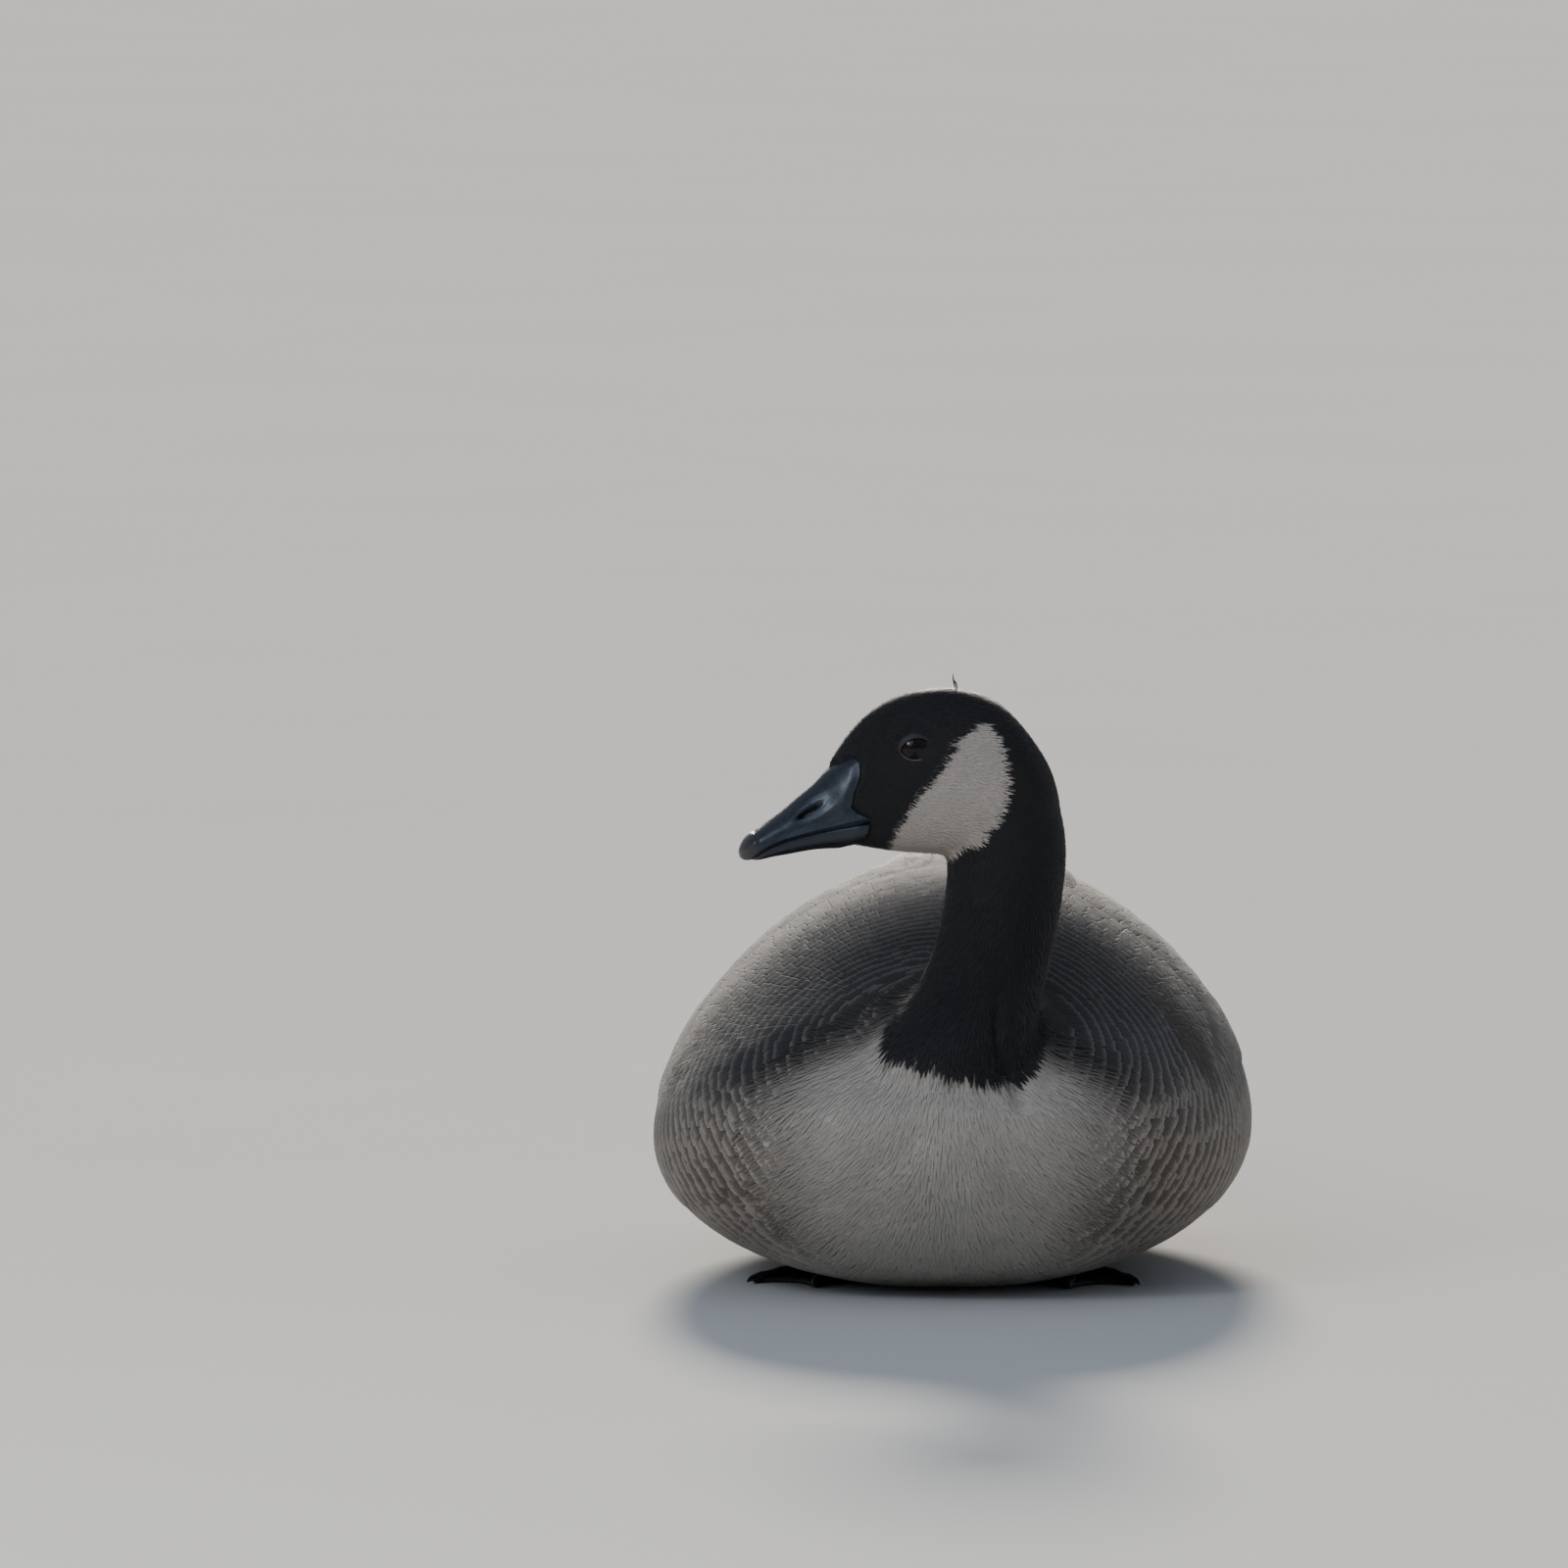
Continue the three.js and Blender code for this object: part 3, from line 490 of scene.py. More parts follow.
# soft borders of the markings: along the body in mm, or degrees from the top of the back
borders = {"backSide": (58, 82), "backFront": (-175, -140), "shadedMantleEnd": (0, 110), "belly": (116, 150),
           "whiteStart": (120, 190), "whiteSide": (96, 116), "rumpStart": (200, 226), "rumpSide": (52, 72),
           "rumpWhiteStart": (215, 245), "rumpWhiteSide": (60, 84), "coverts": (272, 281), "tail": (336, 343),
           "tailHigh": (93, 97)}
bendShadePatch = {"turn": 118, "along": -68.5, "long": 32, "wide": 14, "soft": (0.25, 0.6), "rightSide": 0.5}


def plumage(points):
    # ground and edge colours of the body feathers that grow at these points
    x, y, z = points.T
    heart = domeWide(np.clip(y, torso["breast"], torso["rump"]))
    turn = np.degrees(np.arctan2(np.abs(x), z - heart))  # from the top of the back
    ground = np.broadcast_to(tones["breast"], points.shape)
    edge = np.broadcast_to(tones["breastEdge"], points.shape)

    def lay(name, share, edgeName=None):
        nonlocal ground, edge
        ground = mixed(ground, tones[name], share)
        edge = mixed(edge, tones[edgeName or name], share)
    toFlank = 1 - breastShare(points)
    lay("flank", toFlank, "flankEdge")
    onBack = (1 - smooth(turn, *borders["backSide"])) * toFlank * smooth(y, *borders["backFront"])
    lay("back", onBack, "backEdge")
    # front of the back: partly the feathers' own darker tone, partly painted shade of the shoulders
    lay("shadedMantle", onBack * (1 - smooth(y, *borders["shadedMantleEnd"])), "shadedMantleEdge")
    # a slanting patch at the lower end of the wing's bend, fainter on the right: dark coverts in the gap
    # between flank and back, darkened further as painted shade of that gap
    down, out = turn * 1.9 - bendShadePatch["turn"], y - bendShadePatch["along"]
    bend = bell(0.75 * down - 0.66 * out, 0, bendShadePatch["long"])
    bend = bend * bell(0.66 * down + 0.75 * out, 0, bendShadePatch["wide"])
    lay("bend", smooth(bend, *bendShadePatch["soft"]) * np.where(x > 0, 1.0, bendShadePatch["rightSide"]), "bendShadeEdge")
    lay("belly", smooth(turn, *borders["belly"]), "breastEdge")
    lay("white", smooth(y, *borders["whiteStart"]) * smooth(turn, *borders["whiteSide"]))
    lay("white", smooth(y, *borders["rumpWhiteStart"]) * smooth(turn, *borders["rumpWhiteSide"]))
    lay("tail", smooth(y, *borders["rumpStart"]) * (1 - smooth(turn, *borders["rumpSide"])))
    lay("white", smooth(y + 0.45 * np.abs(x) + 1.5 * np.sin(x * 0.9), *borders["coverts"]))
    lay("tail", smooth(y + 0.05 * np.minimum(x * x, 500), *borders["tail"]) * smooth(z, *borders["tailHigh"]))
    lay("black", blackMask(points), "blackEdge")
    lay("cheek", cheekMask(points), "cheekEdge")
    return ground, edge


# feathers

def vaneWidth(s, root, full, tip, end):
    # share of the full width along a vane
    narrow = np.maximum(1 - np.clip((s - tip) / (1 - tip), 0, 1) ** 2 * (1 - end ** 2), 0)
    return np.minimum(root + (1 - root) * s / full, 1) * np.sqrt(narrow)


def gridFaces(count, rows, across):
    base = np.arange(count)[:, None, None] * rows * across
    i, j = np.meshgrid(np.arange(rows - 1), np.arange(across - 1), indexing="ij")
    first = (i * across + j)[None] + base
    return np.stack([first, first + 1, first + across + 1, first + across], -1).reshape(-1, 4)


def dress(obj, s, v, luck, ground, edge):
    # what the feather materials read: place on the vane, a chance value, and the two colours of the feather
    putAttribute(obj, "vane", "FLOAT_VECTOR", np.stack([s, v, luck], -1).reshape(-1, 3))
    share = s[0].size
    putAttribute(obj, "ground", "FLOAT_COLOR", np.repeat(ground, share, 0))
    putAttribute(obj, "edge", "FLOAT_COLOR", np.repeat(edge, share, 0))


def sheetRim(rows, across):
    # the points of a grid once round its edge
    rim = list(range(across)) + [i * across + across - 1 for i in range(1, rows)]
    rim += [(rows - 1) * across + j for j in range(across - 2, -1, -1)]
    return rim + [i * across for i in range(rows - 2, 0, -1)]


def layFeathers(name, found, flows, length, width, look):
    # vanes that follow the skin from their roots, each one raised towards its tip
    roots, normals, faces = found
    count, rows, across = len(roots), look["rows"], look["across"]
    s, v = np.linspace(0, 1, rows), np.linspace(-1, 1, across)
    spine, up, ahead = np.empty((3, count, rows, 3))
    place, normal, lie = roots, normals, flows
    for i in range(rows):
        spine[:, i], up[:, i], ahead[:, i] = place, normal, lie
        if i + 1 < rows:
            place, normal, _ = onSkin(place + lie * (length * (s[1] - s[0]))[:, None])
            turned = lie * 0.7 + flowAt(place, normal) * 0.3
            lie = unit(turned - normal * dot(turned, normal))
    side = np.cross(up, ahead)
    half = (width / 2)[:, None, None] * look["shape"](s)[None, :, None] * v[None, None, :]
    grid = spine[:, :, None] + side[:, :, None] * half[..., None]
    lifted = np.repeat(up[:, :, None], across, 2)
    if look["wrap"]:
        flat, bent, _ = onSkin(grid.reshape(-1, 3))
        grid, lifted = flat.reshape(grid.shape), bent.reshape(grid.shape)
    high = (look["high"] * (1 + look["uneven"] * (dice.random(count) - 0.5)))[:, None, None]
    rise = look["sink"] + (high - look["sink"]) * s[None, :, None]
    camber = look["camber"] * (1 - v[None, None, :] ** 2) * width[:, None, None]
    tilt = (dice.random(count) - 0.5)[:, None, None] * look["tilt"] * v[None, None, :]
    tilt = tilt * width[:, None, None] * s[None, :, None]
    grid = grid + lifted * (rise + camber + tilt)[..., None]
    jag = look["fray"] * length[:, None] * (dice.random((count, across)) - 0.35)
    grid[:, -1] += ahead[:, -1][:, None] * jag[..., None]
    grid[..., 2] = np.maximum(grid[..., 2], 0.1)  # nothing sinks into the floor
    quads = gridFaces(count, rows, across)
    obj = meshFrom(name, grid.reshape(-1, 3), quads.tolist())
    sAll = np.broadcast_to(s[None, :, None], (count, rows, across))
    vAll = np.broadcast_to(v[None, None, :], (count, rows, across))
    luck = np.broadcast_to(dice.random(count)[:, None, None], (count, rows, across))
    dress(obj, sAll, vAll, luck, *plumage(roots))
    uv = faceUv[faces][:, None, None] + np.stack([vAll * 0.0015, (sAll - 0.5) * 0.003], -1)
    layer = obj.data.uv_layers.new(name="OFBake")
    layer.data.foreach_set("uv", uv.reshape(-1, 2)[quads.ravel()].ravel())
    return obj


triangles = np.array([t for face in skinFaces for t in
                      ([face[:3], (face[0], face[2], face[3])] if len(face) == 4 else [face])])
triangleSides = skinPoints[triangles[:, 1:]] - skinPoints[triangles[:, :1]]
triangleArea = np.linalg.norm(np.cross(triangleSides[:, 0], triangleSides[:, 1]), axis=1) / 2
triangleAt = skinPoints[triangles].mean(1)
neighbours = [(i, j, k) for i in (-1, 0, 1) for j in (-1, 0, 1) for k in (-1, 0, 1)]


def scatter(keep, spacing):
    # evenly spread roots: keep says where, spacing how far apart
    gap = spacing(triangleAt)
    wanted = dice.poisson(np.where(keep(triangleAt), triangleArea / gap ** 2 * 4.5, 0))
    chosen = np.repeat(np.arange(len(triangles)), wanted)
    dice.shuffle(chosen)
    a, b = dice.random((2, len(chosen), 1))
    flip = (a + b) > 1
    a, b = np.where(flip, 1 - a, a), np.where(flip, 1 - b, b)
    points = skinPoints[triangles[chosen, 0]] + a * triangleSides[chosen, 0] + b * triangleSides[chosen, 1]
    points = points[keep(points)]
    reach = spacing(points)
    cells, kept = {}, []
    keys = np.floor(points / float(reach.max())).astype(int).tolist()
    for n, (p, key, r) in enumerate(zip(points.tolist(), keys, (reach ** 2).tolist())):
        near = (q for i, j, k in neighbours for q in cells.get((key[0] + i, key[1] + j, key[2] + k), ()))
        if all((p[0] - q[0]) ** 2 + (p[1] - q[1]) ** 2 + (p[2] - q[2]) ** 2 >= r for q in near):
            cells.setdefault(tuple(key), []).append(p)
            kept.append(n)
    return onSkin(points[kept])


def swungFlow(points, normals, swing):
    # the lie of the feathers, each turned a little to one side
    flows = flowAt(points, normals)
    return unit(flows + np.cross(normals, flows) * swing[:, None])


# materials

def nodeMaker(nodes, links):
    def node(kind, inputs=None, **settings):
        made = nodes.new("ShaderNode" + kind)
        for key, value in settings.items():
            setattr(made, key, value)
        for key, value in (inputs or {}).items():
            if isinstance(value, bpy.types.NodeSocket):
                links.new(value, made.inputs[key])
            else:
                made.inputs[key].default_value = value
        return made
    return node


def material(name):
    made = bpy.data.materials.new(name)
    made.use_nodes = True
    nodes, links = made.node_tree.nodes, made.node_tree.links
    return made, nodes["Principled BSDF"], nodeMaker(nodes, links), links


def startGroup(name, inputs, outputs):
    group = bpy.data.node_groups.new(name, "ShaderNodeTree")
    for key, kind, value in inputs:
        made = group.interface.new_socket(key, in_out="INPUT", socket_type="NodeSocket" + kind)
        if value is not None:
            made.default_value = value
    for key, kind in outputs:
        group.interface.new_socket(key, in_out="OUTPUT", socket_type="NodeSocket" + kind)
    start, end = group.nodes.new("NodeGroupInput"), group.nodes.new("NodeGroupOutput")
    return group, start, end, nodeMaker(group.nodes, group.links), group.links


def blendColor(node, share, a, b):
    mix = node("Mix", data_type="RGBA")
    for value, target in ((share, mix.inputs[0]), (a, mix.inputs[6]), (b, mix.inputs[7])):
        if isinstance(value, bpy.types.NodeSocket):
            mix.id_data.links.new(value, target)
        else:
            target.default_value = value if target == mix.inputs[0] else (*value, 1)
    return mix.outputs[2]


def calc(node, operation, a, b=0.0):
    made = node("Math", operation=operation)
    for value, target in zip((a, b), made.inputs):
        if isinstance(value, bpy.types.NodeSocket):
            made.id_data.links.new(value, target)
        else:
            target.default_value = value
    return made.outputs[0]


def spread(node, value, low, high, toLow=0.0, toHigh=1.0):
    made = node("MapRange", {"Value": value, "From Min": low, "From Max": high,
                             "To Min": toLow, "To Max": toHigh})
    return made.outputs[0]


def noise(node, place, scale, detail, rough=0.5):
    made = node("TexNoise", {"Vector": place, "Scale": scale, "Detail": detail, "Roughness": rough})
    return made.outputs["Fac"]


def scaled(node, color, gain):
    return node("VectorMath", {0: color, "Scale": gain}, operation="SCALE").outputs["Vector"]


def readAttribute(node, name, output="Color"):
    return node("Attribute", attribute_name=name).outputs[output]


def bumpInto(node, links, shader, height, strength, distance):
    bump = node("Bump", {"Strength": strength, "Distance": distance, "Height": height})
    links.new(bump.outputs["Normal"], shader.inputs["Normal"])


def setSockets(shader, values):
    for key, value in values.items():
        shader.inputs[key].default_value = value


def barbGroup():
    # place on a vane to the mask of its pale edge, the mask of its shaft, and the height of its barbs
    group, start, end, node, links = startGroup(
        "barbs", [("Vane", "Vector", None), ("Edge", "Float", 0.75), ("Softness", "Float", 0.14),
                  ("Side", "Float", 0.9), ("Barbs", "Float", 30.0)],
        [("Edge", "Float"), ("Shaft", "Float"), ("Height", "Float"), ("Luck", "Float"), ("Along", "Float")])
    s, v, luck = node("SeparateXYZ", {"Vector": start.outputs["Vane"]}).outputs
    away = calc(node, "ABSOLUTE", v)
    slant = calc(node, "SUBTRACT", s, calc(node, "MULTIPLY", away, 0.3))
    seed = calc(node, "MULTIPLY", luck, 57.0)
    comb = node("CombineXYZ", {0: calc(node, "MULTIPLY", slant, start.outputs["Barbs"]),
                               1: calc(node, "MULTIPLY", v, 1.3), 2: seed})
    fine = noise(node, comb.outputs[0], 1.0, 2.0, 0.6)
    broad = noise(node, node("CombineXYZ", {0: slant, 1: v, 2: seed}).outputs[0], 4.0, 2.0)
    shift = calc(node, "MULTIPLY", calc(node, "SUBTRACT", broad, 0.5), 0.3)
    tip = calc(node, "POWER", s, 2.2)
    rim = calc(node, "MULTIPLY", calc(node, "POWER", away, 1.5), start.outputs["Side"])
    out = calc(node, "ADD", calc(node, "MAXIMUM", tip, rim), shift)
    high = calc(node, "ADD", start.outputs["Edge"], start.outputs["Softness"])
    edge = node("MapRange", {"Value": out, "From Min": start.outputs["Edge"], "From Max": high},
                interpolation_type="SMOOTHSTEP")
    made = {"Edge": edge.outputs[0], "Shaft": spread(node, away, 0.09, 0.02), "Height": fine, "Luck": luck,
            "Along": s}
    for key, value in made.items():
        links.new(value, end.inputs[key])
    return group


barbs = barbGroup()


def featherMaterial(name, look):
    made, shader, node, links = material(name)
    group = node("Group", node_tree=barbs)
    links.new(readAttribute(node, "vane", "Vector"), group.inputs["Vane"])
    for key in ("Edge", "Softness", "Side", "Barbs"):
        group.inputs[key].default_value = look[key.lower()]
    spots = noise(node, node("TexCoord").outputs["Object"], 90.0, 4.0, 0.65)
    body = blendColor(node, calc(node, "MULTIPLY", group.outputs["Edge"], look["fringe"]),
                      readAttribute(node, "ground"), readAttribute(node, "edge"))
    # darker towards the root: the feather's greyer base, plus painted shade where it slides under the feather
    # before it
    rootGreyAndShade = spread(node, group.outputs["Along"], 0.0, look["rootEnd"], look["rootGreyAndShade"])
    luckShade = spread(node, group.outputs["Luck"], 0.0, 1.0, 1 - look["vary"], 1 + look["vary"])
    speck = spread(node, spots, 0.3, 0.7, 1 - look["speck"], 1 + look["speck"])
    streak = spread(node, group.outputs["Height"], 0.3, 0.7, 1 - look["streak"], 1 + look["streak"])
    shaft = spread(node, group.outputs["Shaft"], 0.0, 1.0, 1.0, look["shaft"])
    gain = calc(node, "MULTIPLY", calc(node, "MULTIPLY", rootGreyAndShade, luckShade),
                calc(node, "MULTIPLY", calc(node, "MULTIPLY", speck, shaft), streak))
    links.new(scaled(node, body, gain), shader.inputs["Base Color"])
    rough = spread(node, spots, 0.3, 0.7, look["rough"] - 0.07, look["rough"] + 0.07)
    links.new(rough, shader.inputs["Roughness"])
    height = calc(node, "ADD", group.outputs["Height"], calc(node, "MULTIPLY", group.outputs["Shaft"], 0.8))
    bumpInto(node, links, shader, height, look["bump"], 0.0004)
    setSockets(shader, {"Sheen Weight": look["sheen"], "Sheen Roughness": 0.5,
                        "Specular IOR Level": look["specular"]})
    return made


def paint(obj, made):
    obj.data.materials.clear()
    obj.data.materials.append(made)


def finishPiece(obj, made):
    paint(obj, made)
    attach(obj, "root")
    say(obj.name, obj)
    return obj


# the root darkening of each look is the feather's greyer base plus painted shade under the feather before it
softLook = {"edge": 0.5, "softness": 0.4, "side": 0.9, "barbs": 18.0, "fringe": 0.8, "rootGreyAndShade": 0.86,
            "rootEnd": 0.65, "vary": 0.05, "speck": 0.1, "streak": 0.1, "shaft": 0.98, "rough": 0.85,
            "bump": 0.4, "sheen": 0.12, "specular": 0.15}
featherLooks = {
    "softFeather": {},
    "breastHair": {"fringe": 0.6, "rootGreyAndShade": 0.94, "speck": 0.07},
    "velvet": {"barbs": 7.0, "rootGreyAndShade": 0.85, "vary": 0.1, "rough": 0.6, "sheen": 0.06, "specular": 0.22},
    "cheekFeather": {"barbs": 6.0, "vary": 0.04, "rough": 0.8},
    "scaleFeather": {"edge": 0.6, "side": 0.4, "barbs": 34.0, "fringe": 0.9, "rootGreyAndShade": 0.5,
                     "rootEnd": 0.95, "vary": 0.07, "speck": 0.14, "streak": 0.14, "shaft": 0.96,
                     "rough": 0.75},
    "mantleFeather": {"edge": 0.7, "softness": 0.26, "side": 0.3, "barbs": 30.0, "fringe": 0.9,
                      "rootGreyAndShade": 0.45, "rootEnd": 0.9, "vary": 0.06, "speck": 0.12, "streak": 0.16,
                      "shaft": 1.0},
    "broadFeather": {"edge": 0.76, "softness": 0.16, "side": 0.72, "barbs": 50.0, "fringe": 0.9,
                     "rootGreyAndShade": 0.4, "rootEnd": 0.85, "vary": 0.1, "speck": 0.14, "streak": 0.2,
                     "shaft": 0.8},
    "covertFeather": {"rootGreyAndShade": 0.45, "rootEnd": 0.95, "streak": 0.2},
    "flightFeather": {"edge": 0.84, "softness": 0.12, "side": 0.98, "barbs": 120.0, "fringe": 0.85,
                      "vary": 0.1, "speck": 0.18, "shaft": 0.6, "rough": 0.55, "sheen": 0.05,
                      "specular": 0.4}}
coats = {name: featherMaterial(name, {**softLook, **change}) for name, change in featherLooks.items()}


def downMaterial():
    made, shader, node, links = material("underDown")
    fine = noise(node, node("TexCoord").outputs["Object"], 900.0, 5.0, 0.7)
    gain = spread(node, fine, 0.3, 0.7, 0.6, 0.95)
    links.new(scaled(node, readAttribute(node, "ground"), gain), shader.inputs["Base Color"])
    bumpInto(node, links, shader, fine, 0.5, 0.0005)
    setSockets(shader, {"Roughness": 0.9})
    return made


skinGround, skinEdge = plumage(skinPoints)
putAttribute(skin, "ground", "FLOAT_COLOR", mixed(skinGround, skinEdge, 0.25 * np.ones(len(skinGround))))
finishPiece(skin, downMaterial())
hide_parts("torso", "neck", "head", "wing_left", "wing_right", "tail")

# short feathers of the head and neck

shortLook = {"rows": 3, "across": 3, "high": 0.38, "uneven": 0.4, "sink": -0.25, "camber": 0.1, "tilt": 0.1,
             "fray": 0.0, "wrap": False, "swing": 0.35, "vary": 0.3, "slim": 0.34,
             "shape": lambda s: np.array([0.55, 1.0, 0.2])}


def layShort(name, found, size, look, coat):
    roots, normals, _ = found
    swing = (dice.random(len(roots)) - 0.5) * look["swing"]
    length = size(roots) * (1 + look["vary"] * (dice.random(len(roots)) - 0.5))
    flows = swungFlow(roots, normals, swing)
    tip = roots + flows * length[:, None]
    overEye = (eyeMiss(tip, 0.3) < 1) & (roots[:, 2] > 180)
    length = np.where(overEye, length * 0.3, length)
    obj = layFeathers(name, found, flows, length, length * look["slim"], look)
    return finishPiece(obj, coats[coat])


def only(found, keep):
    return tuple(part[keep] for part in found)


def onHead(p):
    return (p[:, 2] > 172) & (eyeMiss(p, 0.5) > 1) & (behindBill(p) > 0.2)


def headLength(p):
    return (1.7 + 1.7 * smooth(toHead(p)[:, 1], -28, 14)) * (0.5 + 0.5 * smooth(eyeMiss(p, 0), 1.1, 2.2))


headFound = scatter(onHead, lambda p: 0.7 + 0.2 * smooth(toHead(p)[:, 1], -28, 8))
onCheek = cheekMask(headFound[0]) > 0.5
layShort("headCoat", only(headFound, ~onCheek), headLength, shortLook, "velvet")
layShort("cheekCoat", only(headFound, onCheek), headLength, {**shortLook, "slim": 0.22}, "cheekFeather")

neckLook = {**shortLook, "rows": 4, "high": 0.55, "slim": 0.25, "fray": 0.08,
            "shape": lambda s: np.array([0.5, 1.0, 0.8, 0.15])}
neckFound = scatter(lambda p: (p[:, 2] <= 172) & (blackMask(p) > 0.5),
                    lambda p: 1.1 + 0.2 * smooth(-p[:, 2], -140, -100))
layShort("neckCoat", neckFound, lambda p: 4.2 + 2.0 * smooth(-p[:, 2], -145, -105), neckLook, "velvet")


# body feathers

def layBody(name, found, length, width, look, coat, turn=0.0):
    roots, normals, _ = found
    wave = np.sin(roots[:, 0] * 0.21 + roots[:, 2] * 0.13) + np.sin(roots[:, 2] * 0.31 - roots[:, 0] * 0.17)
    swing = (dice.random(len(roots)) - 0.5) * look["swing"] + wave * look["clump"] + turn
    vary = 1 + 0.5 * look["uneven"] * (dice.random(len(roots)) - 0.5)
    obj = layFeathers(name, found, swungFlow(roots, normals, swing), length * vary, width * vary, look)
    return finishPiece(obj, coats[coat])


breastLook = {"rows": 5, "across": 3, "high": 0.55, "uneven": 0.4, "sink": -0.3, "camber": 0.04, "tilt": 0.06,
              "fray": 0.0, "wrap": False, "swing": 0.3, "clump": 0.07, "long": 8.0, "slim": 0.15,
              "shape": lambda s: np.array([0.6, 1.0, 1.0, 0.7, 0.15])}


def onBreast(p):
    return (blackMask(p) <= 0.5) & (p[:, 2] < 165) & (p[:, 1] < -95) & (breastShare(p) > 0.05)


breastFound = scatter(onBreast, lambda p: 1.2 + 0.7 * (1 - breastShare(p)))
toSide = 1 - breastShare(breastFound[0])
breastLength = breastLook["long"] - toSide
layBody("breastFeathers", breastFound, breastLength, breastLook["slim"] * breastLength,
        {**breastLook, "high": breastLook["high"] + 1.4 * toSide}, "breastHair")


def shellRows(angles, reaches, size, step):
    # staggered rows of roots, each row at one distance from the root of the neck
    y, turn = np.linspace(-187, 300, 500)[:, None], np.radians(np.linspace(*angles, 241))[None]
    ground = torsoPoint(y, turn)
    away = np.linalg.norm(ground - neckRoot, axis=-1)
    away = away + 0.8 * np.sin(turn * 23) + 0.6 * np.sin(turn * 41 + y * 0.1)  # the rows waver a little
    places, widths, reach, odd = [], [], reaches[0], 0
    while reach < reaches[1]:
        wide = size(reach)
        last = len(y) - 1 - np.argmax((away < reach)[::-1], axis=0)
        crossed = np.nonzero((away < reach).any(0) & (last < len(y) - 1))[0]
        if len(crossed) > 2:
            last = last[crossed]
            low, high = away[last, crossed], away[last + 1, crossed]
            share = ((reach - low) / (high - low))[:, None]
            line = ground[last, crossed] * (1 - share) + ground[last + 1, crossed] * share
            run = np.concatenate([[0], np.cumsum(np.linalg.norm(np.diff(line, axis=0), axis=1))])
            count = max(int(run[-1] / (wide * 0.5)), 1)
            at = np.arange(count) + (0.25 if odd else 0.75) + (dice.random(count) - 0.5) * 0.3
            at = at / count * run[-1]
            places.append(np.stack([np.interp(at, run, line[:, k]) for k in range(3)], -1))
            widths.append(wide * np.ones(count))
        reach += wide * step
        odd = not odd
    return np.concatenate(places), np.concatenate(widths)


def bodyRows(name, angles, reaches, size, look, coat, turn=0.0):
    # overlapping rows, thinner towards the breast and the neck
    places, widths = shellRows(angles, reaches, size, look["step"])
    found = onSkin(places)
    nearBreast = breastShare(found[0])
    keep = (blackMask(found[0]) <= 0.5) & (nearBreast < 0.7)
    nearNeck = 1 - smooth(np.linalg.norm(found[0] - neckRoot, axis=1), 45, 120)
    look = {**look, "high": look["high"] * ((1 - 0.8 * nearBreast) * (1 - 0.6 * nearNeck))[keep]}
    width = widths[keep]
    return layBody(name, only(found, keep), width * look["stretch"], width, look, coat, turn)


def roundTip(tip, end):
    return lambda s: vaneWidth(s, 0.6, 0.3, tip, end)


def grows(first, more, start, stop):
    # width of the feathers by distance from the root of the neck
    return lambda reach: first + more * float(smooth(reach, start, stop))


rowLook = {"rows": 8, "across": 8, "high": 2.2, "uneven": 0.05, "sink": -0.8, "camber": 0.004, "tilt": 0.012,
           "fray": 0.04, "swing": 0.06, "clump": 0.03, "wrap": True, "step": 0.46, "stretch": 1.4,
           "shape": roundTip(0.74, 0.6)}
bodyRows("belly", (112, 248), (58, 415), grows(11, 9, 90, 240),
         {**rowLook, "high": 1.3, "rows": 5, "across": 6, "fray": 0.1}, "softFeather")
for name, angles, side in (("flankLeft", (62, 116), 1), ("flankRight", (-116, -62), -1)):
    bodyRows(name, angles, (60, 405), grows(10.5, 12.5, 90, 260), {**rowLook, "high": 1.9},
             "scaleFeather", turn=-0.06 * side)
bodyRows("rumpFeathers", (-75, 75), (334, 404), lambda reach: 17.0, {**rowLook, "high": 1.3, "rows": 6},
         "scaleFeather")
bodyRows("backFeathers", (-64, 64), (165, 330), grows(18, 8, 165, 260),
         {**rowLook, "high": 2.4, "uneven": 0.12, "swing": 0.1, "shape": roundTip(0.62, 0.35)},
         "broadFeather")
bodyRows("mantleFeathers", (-64, 64), (22, 172), grows(12, 6, 90, 165),
         {**rowLook, "high": 1.7, "rows": 7, "step": 0.43}, "mantleFeather")

# edge of the flanks, where they close over the lower edge of the folded wing: distance along, angle
flankLine = np.array([[-92, 64.6], [-4, 57], [60, 60], [150, 70]])
for name, side in (("flankEdgeLeft", 1), ("flankEdgeRight", -1)):
    y = np.arange(flankLine[0, 0], flankLine[-1, 0], 7.0)
    angle = np.radians(np.interp(y, *flankLine.T)) * side
    places = domePoint(y + (dice.random(len(y)) - 0.5) * 4, angle, -torso["coat"])
    edgeFound = onSkin(np.concatenate([places, domePoint(y + 4, angle + side * 0.09, -torso["coat"])]))
    wide = np.tile(12 + 9 * smooth(y, -110, -10), 2)
    high = np.tile(0.8 + 2.4 * smooth(y, -90, -30), 2)
    layBody(name, edgeFound, wide * 1.6, wide, {**rowLook, "high": high}, "scaleFeather",
            turn=-0.34 * side)

# loose shoulder feathers along the top of the back
loose = {"right": 10, "left": 4, "long": 28, "wide": 15, "high": 4.4}
looseY = np.concatenate([np.linspace(20, 72, loose["right"]), np.linspace(24, 62, loose["left"])])
looseTurn = np.concatenate([-14 + 12 * dice.random(loose["right"]), 19 + 3 * dice.random(loose["left"])])
looseFound = onSkin(domePoint(looseY, np.radians(looseTurn), -torso["coat"]))
layBody("shoulderTips", looseFound, loose["long"] + 0 * looseY, loose["wide"] + 0 * looseY,
        {**rowLook, "high": loose["high"], "shape": roundTip(0.55, 0.3)}, "scaleFeather")

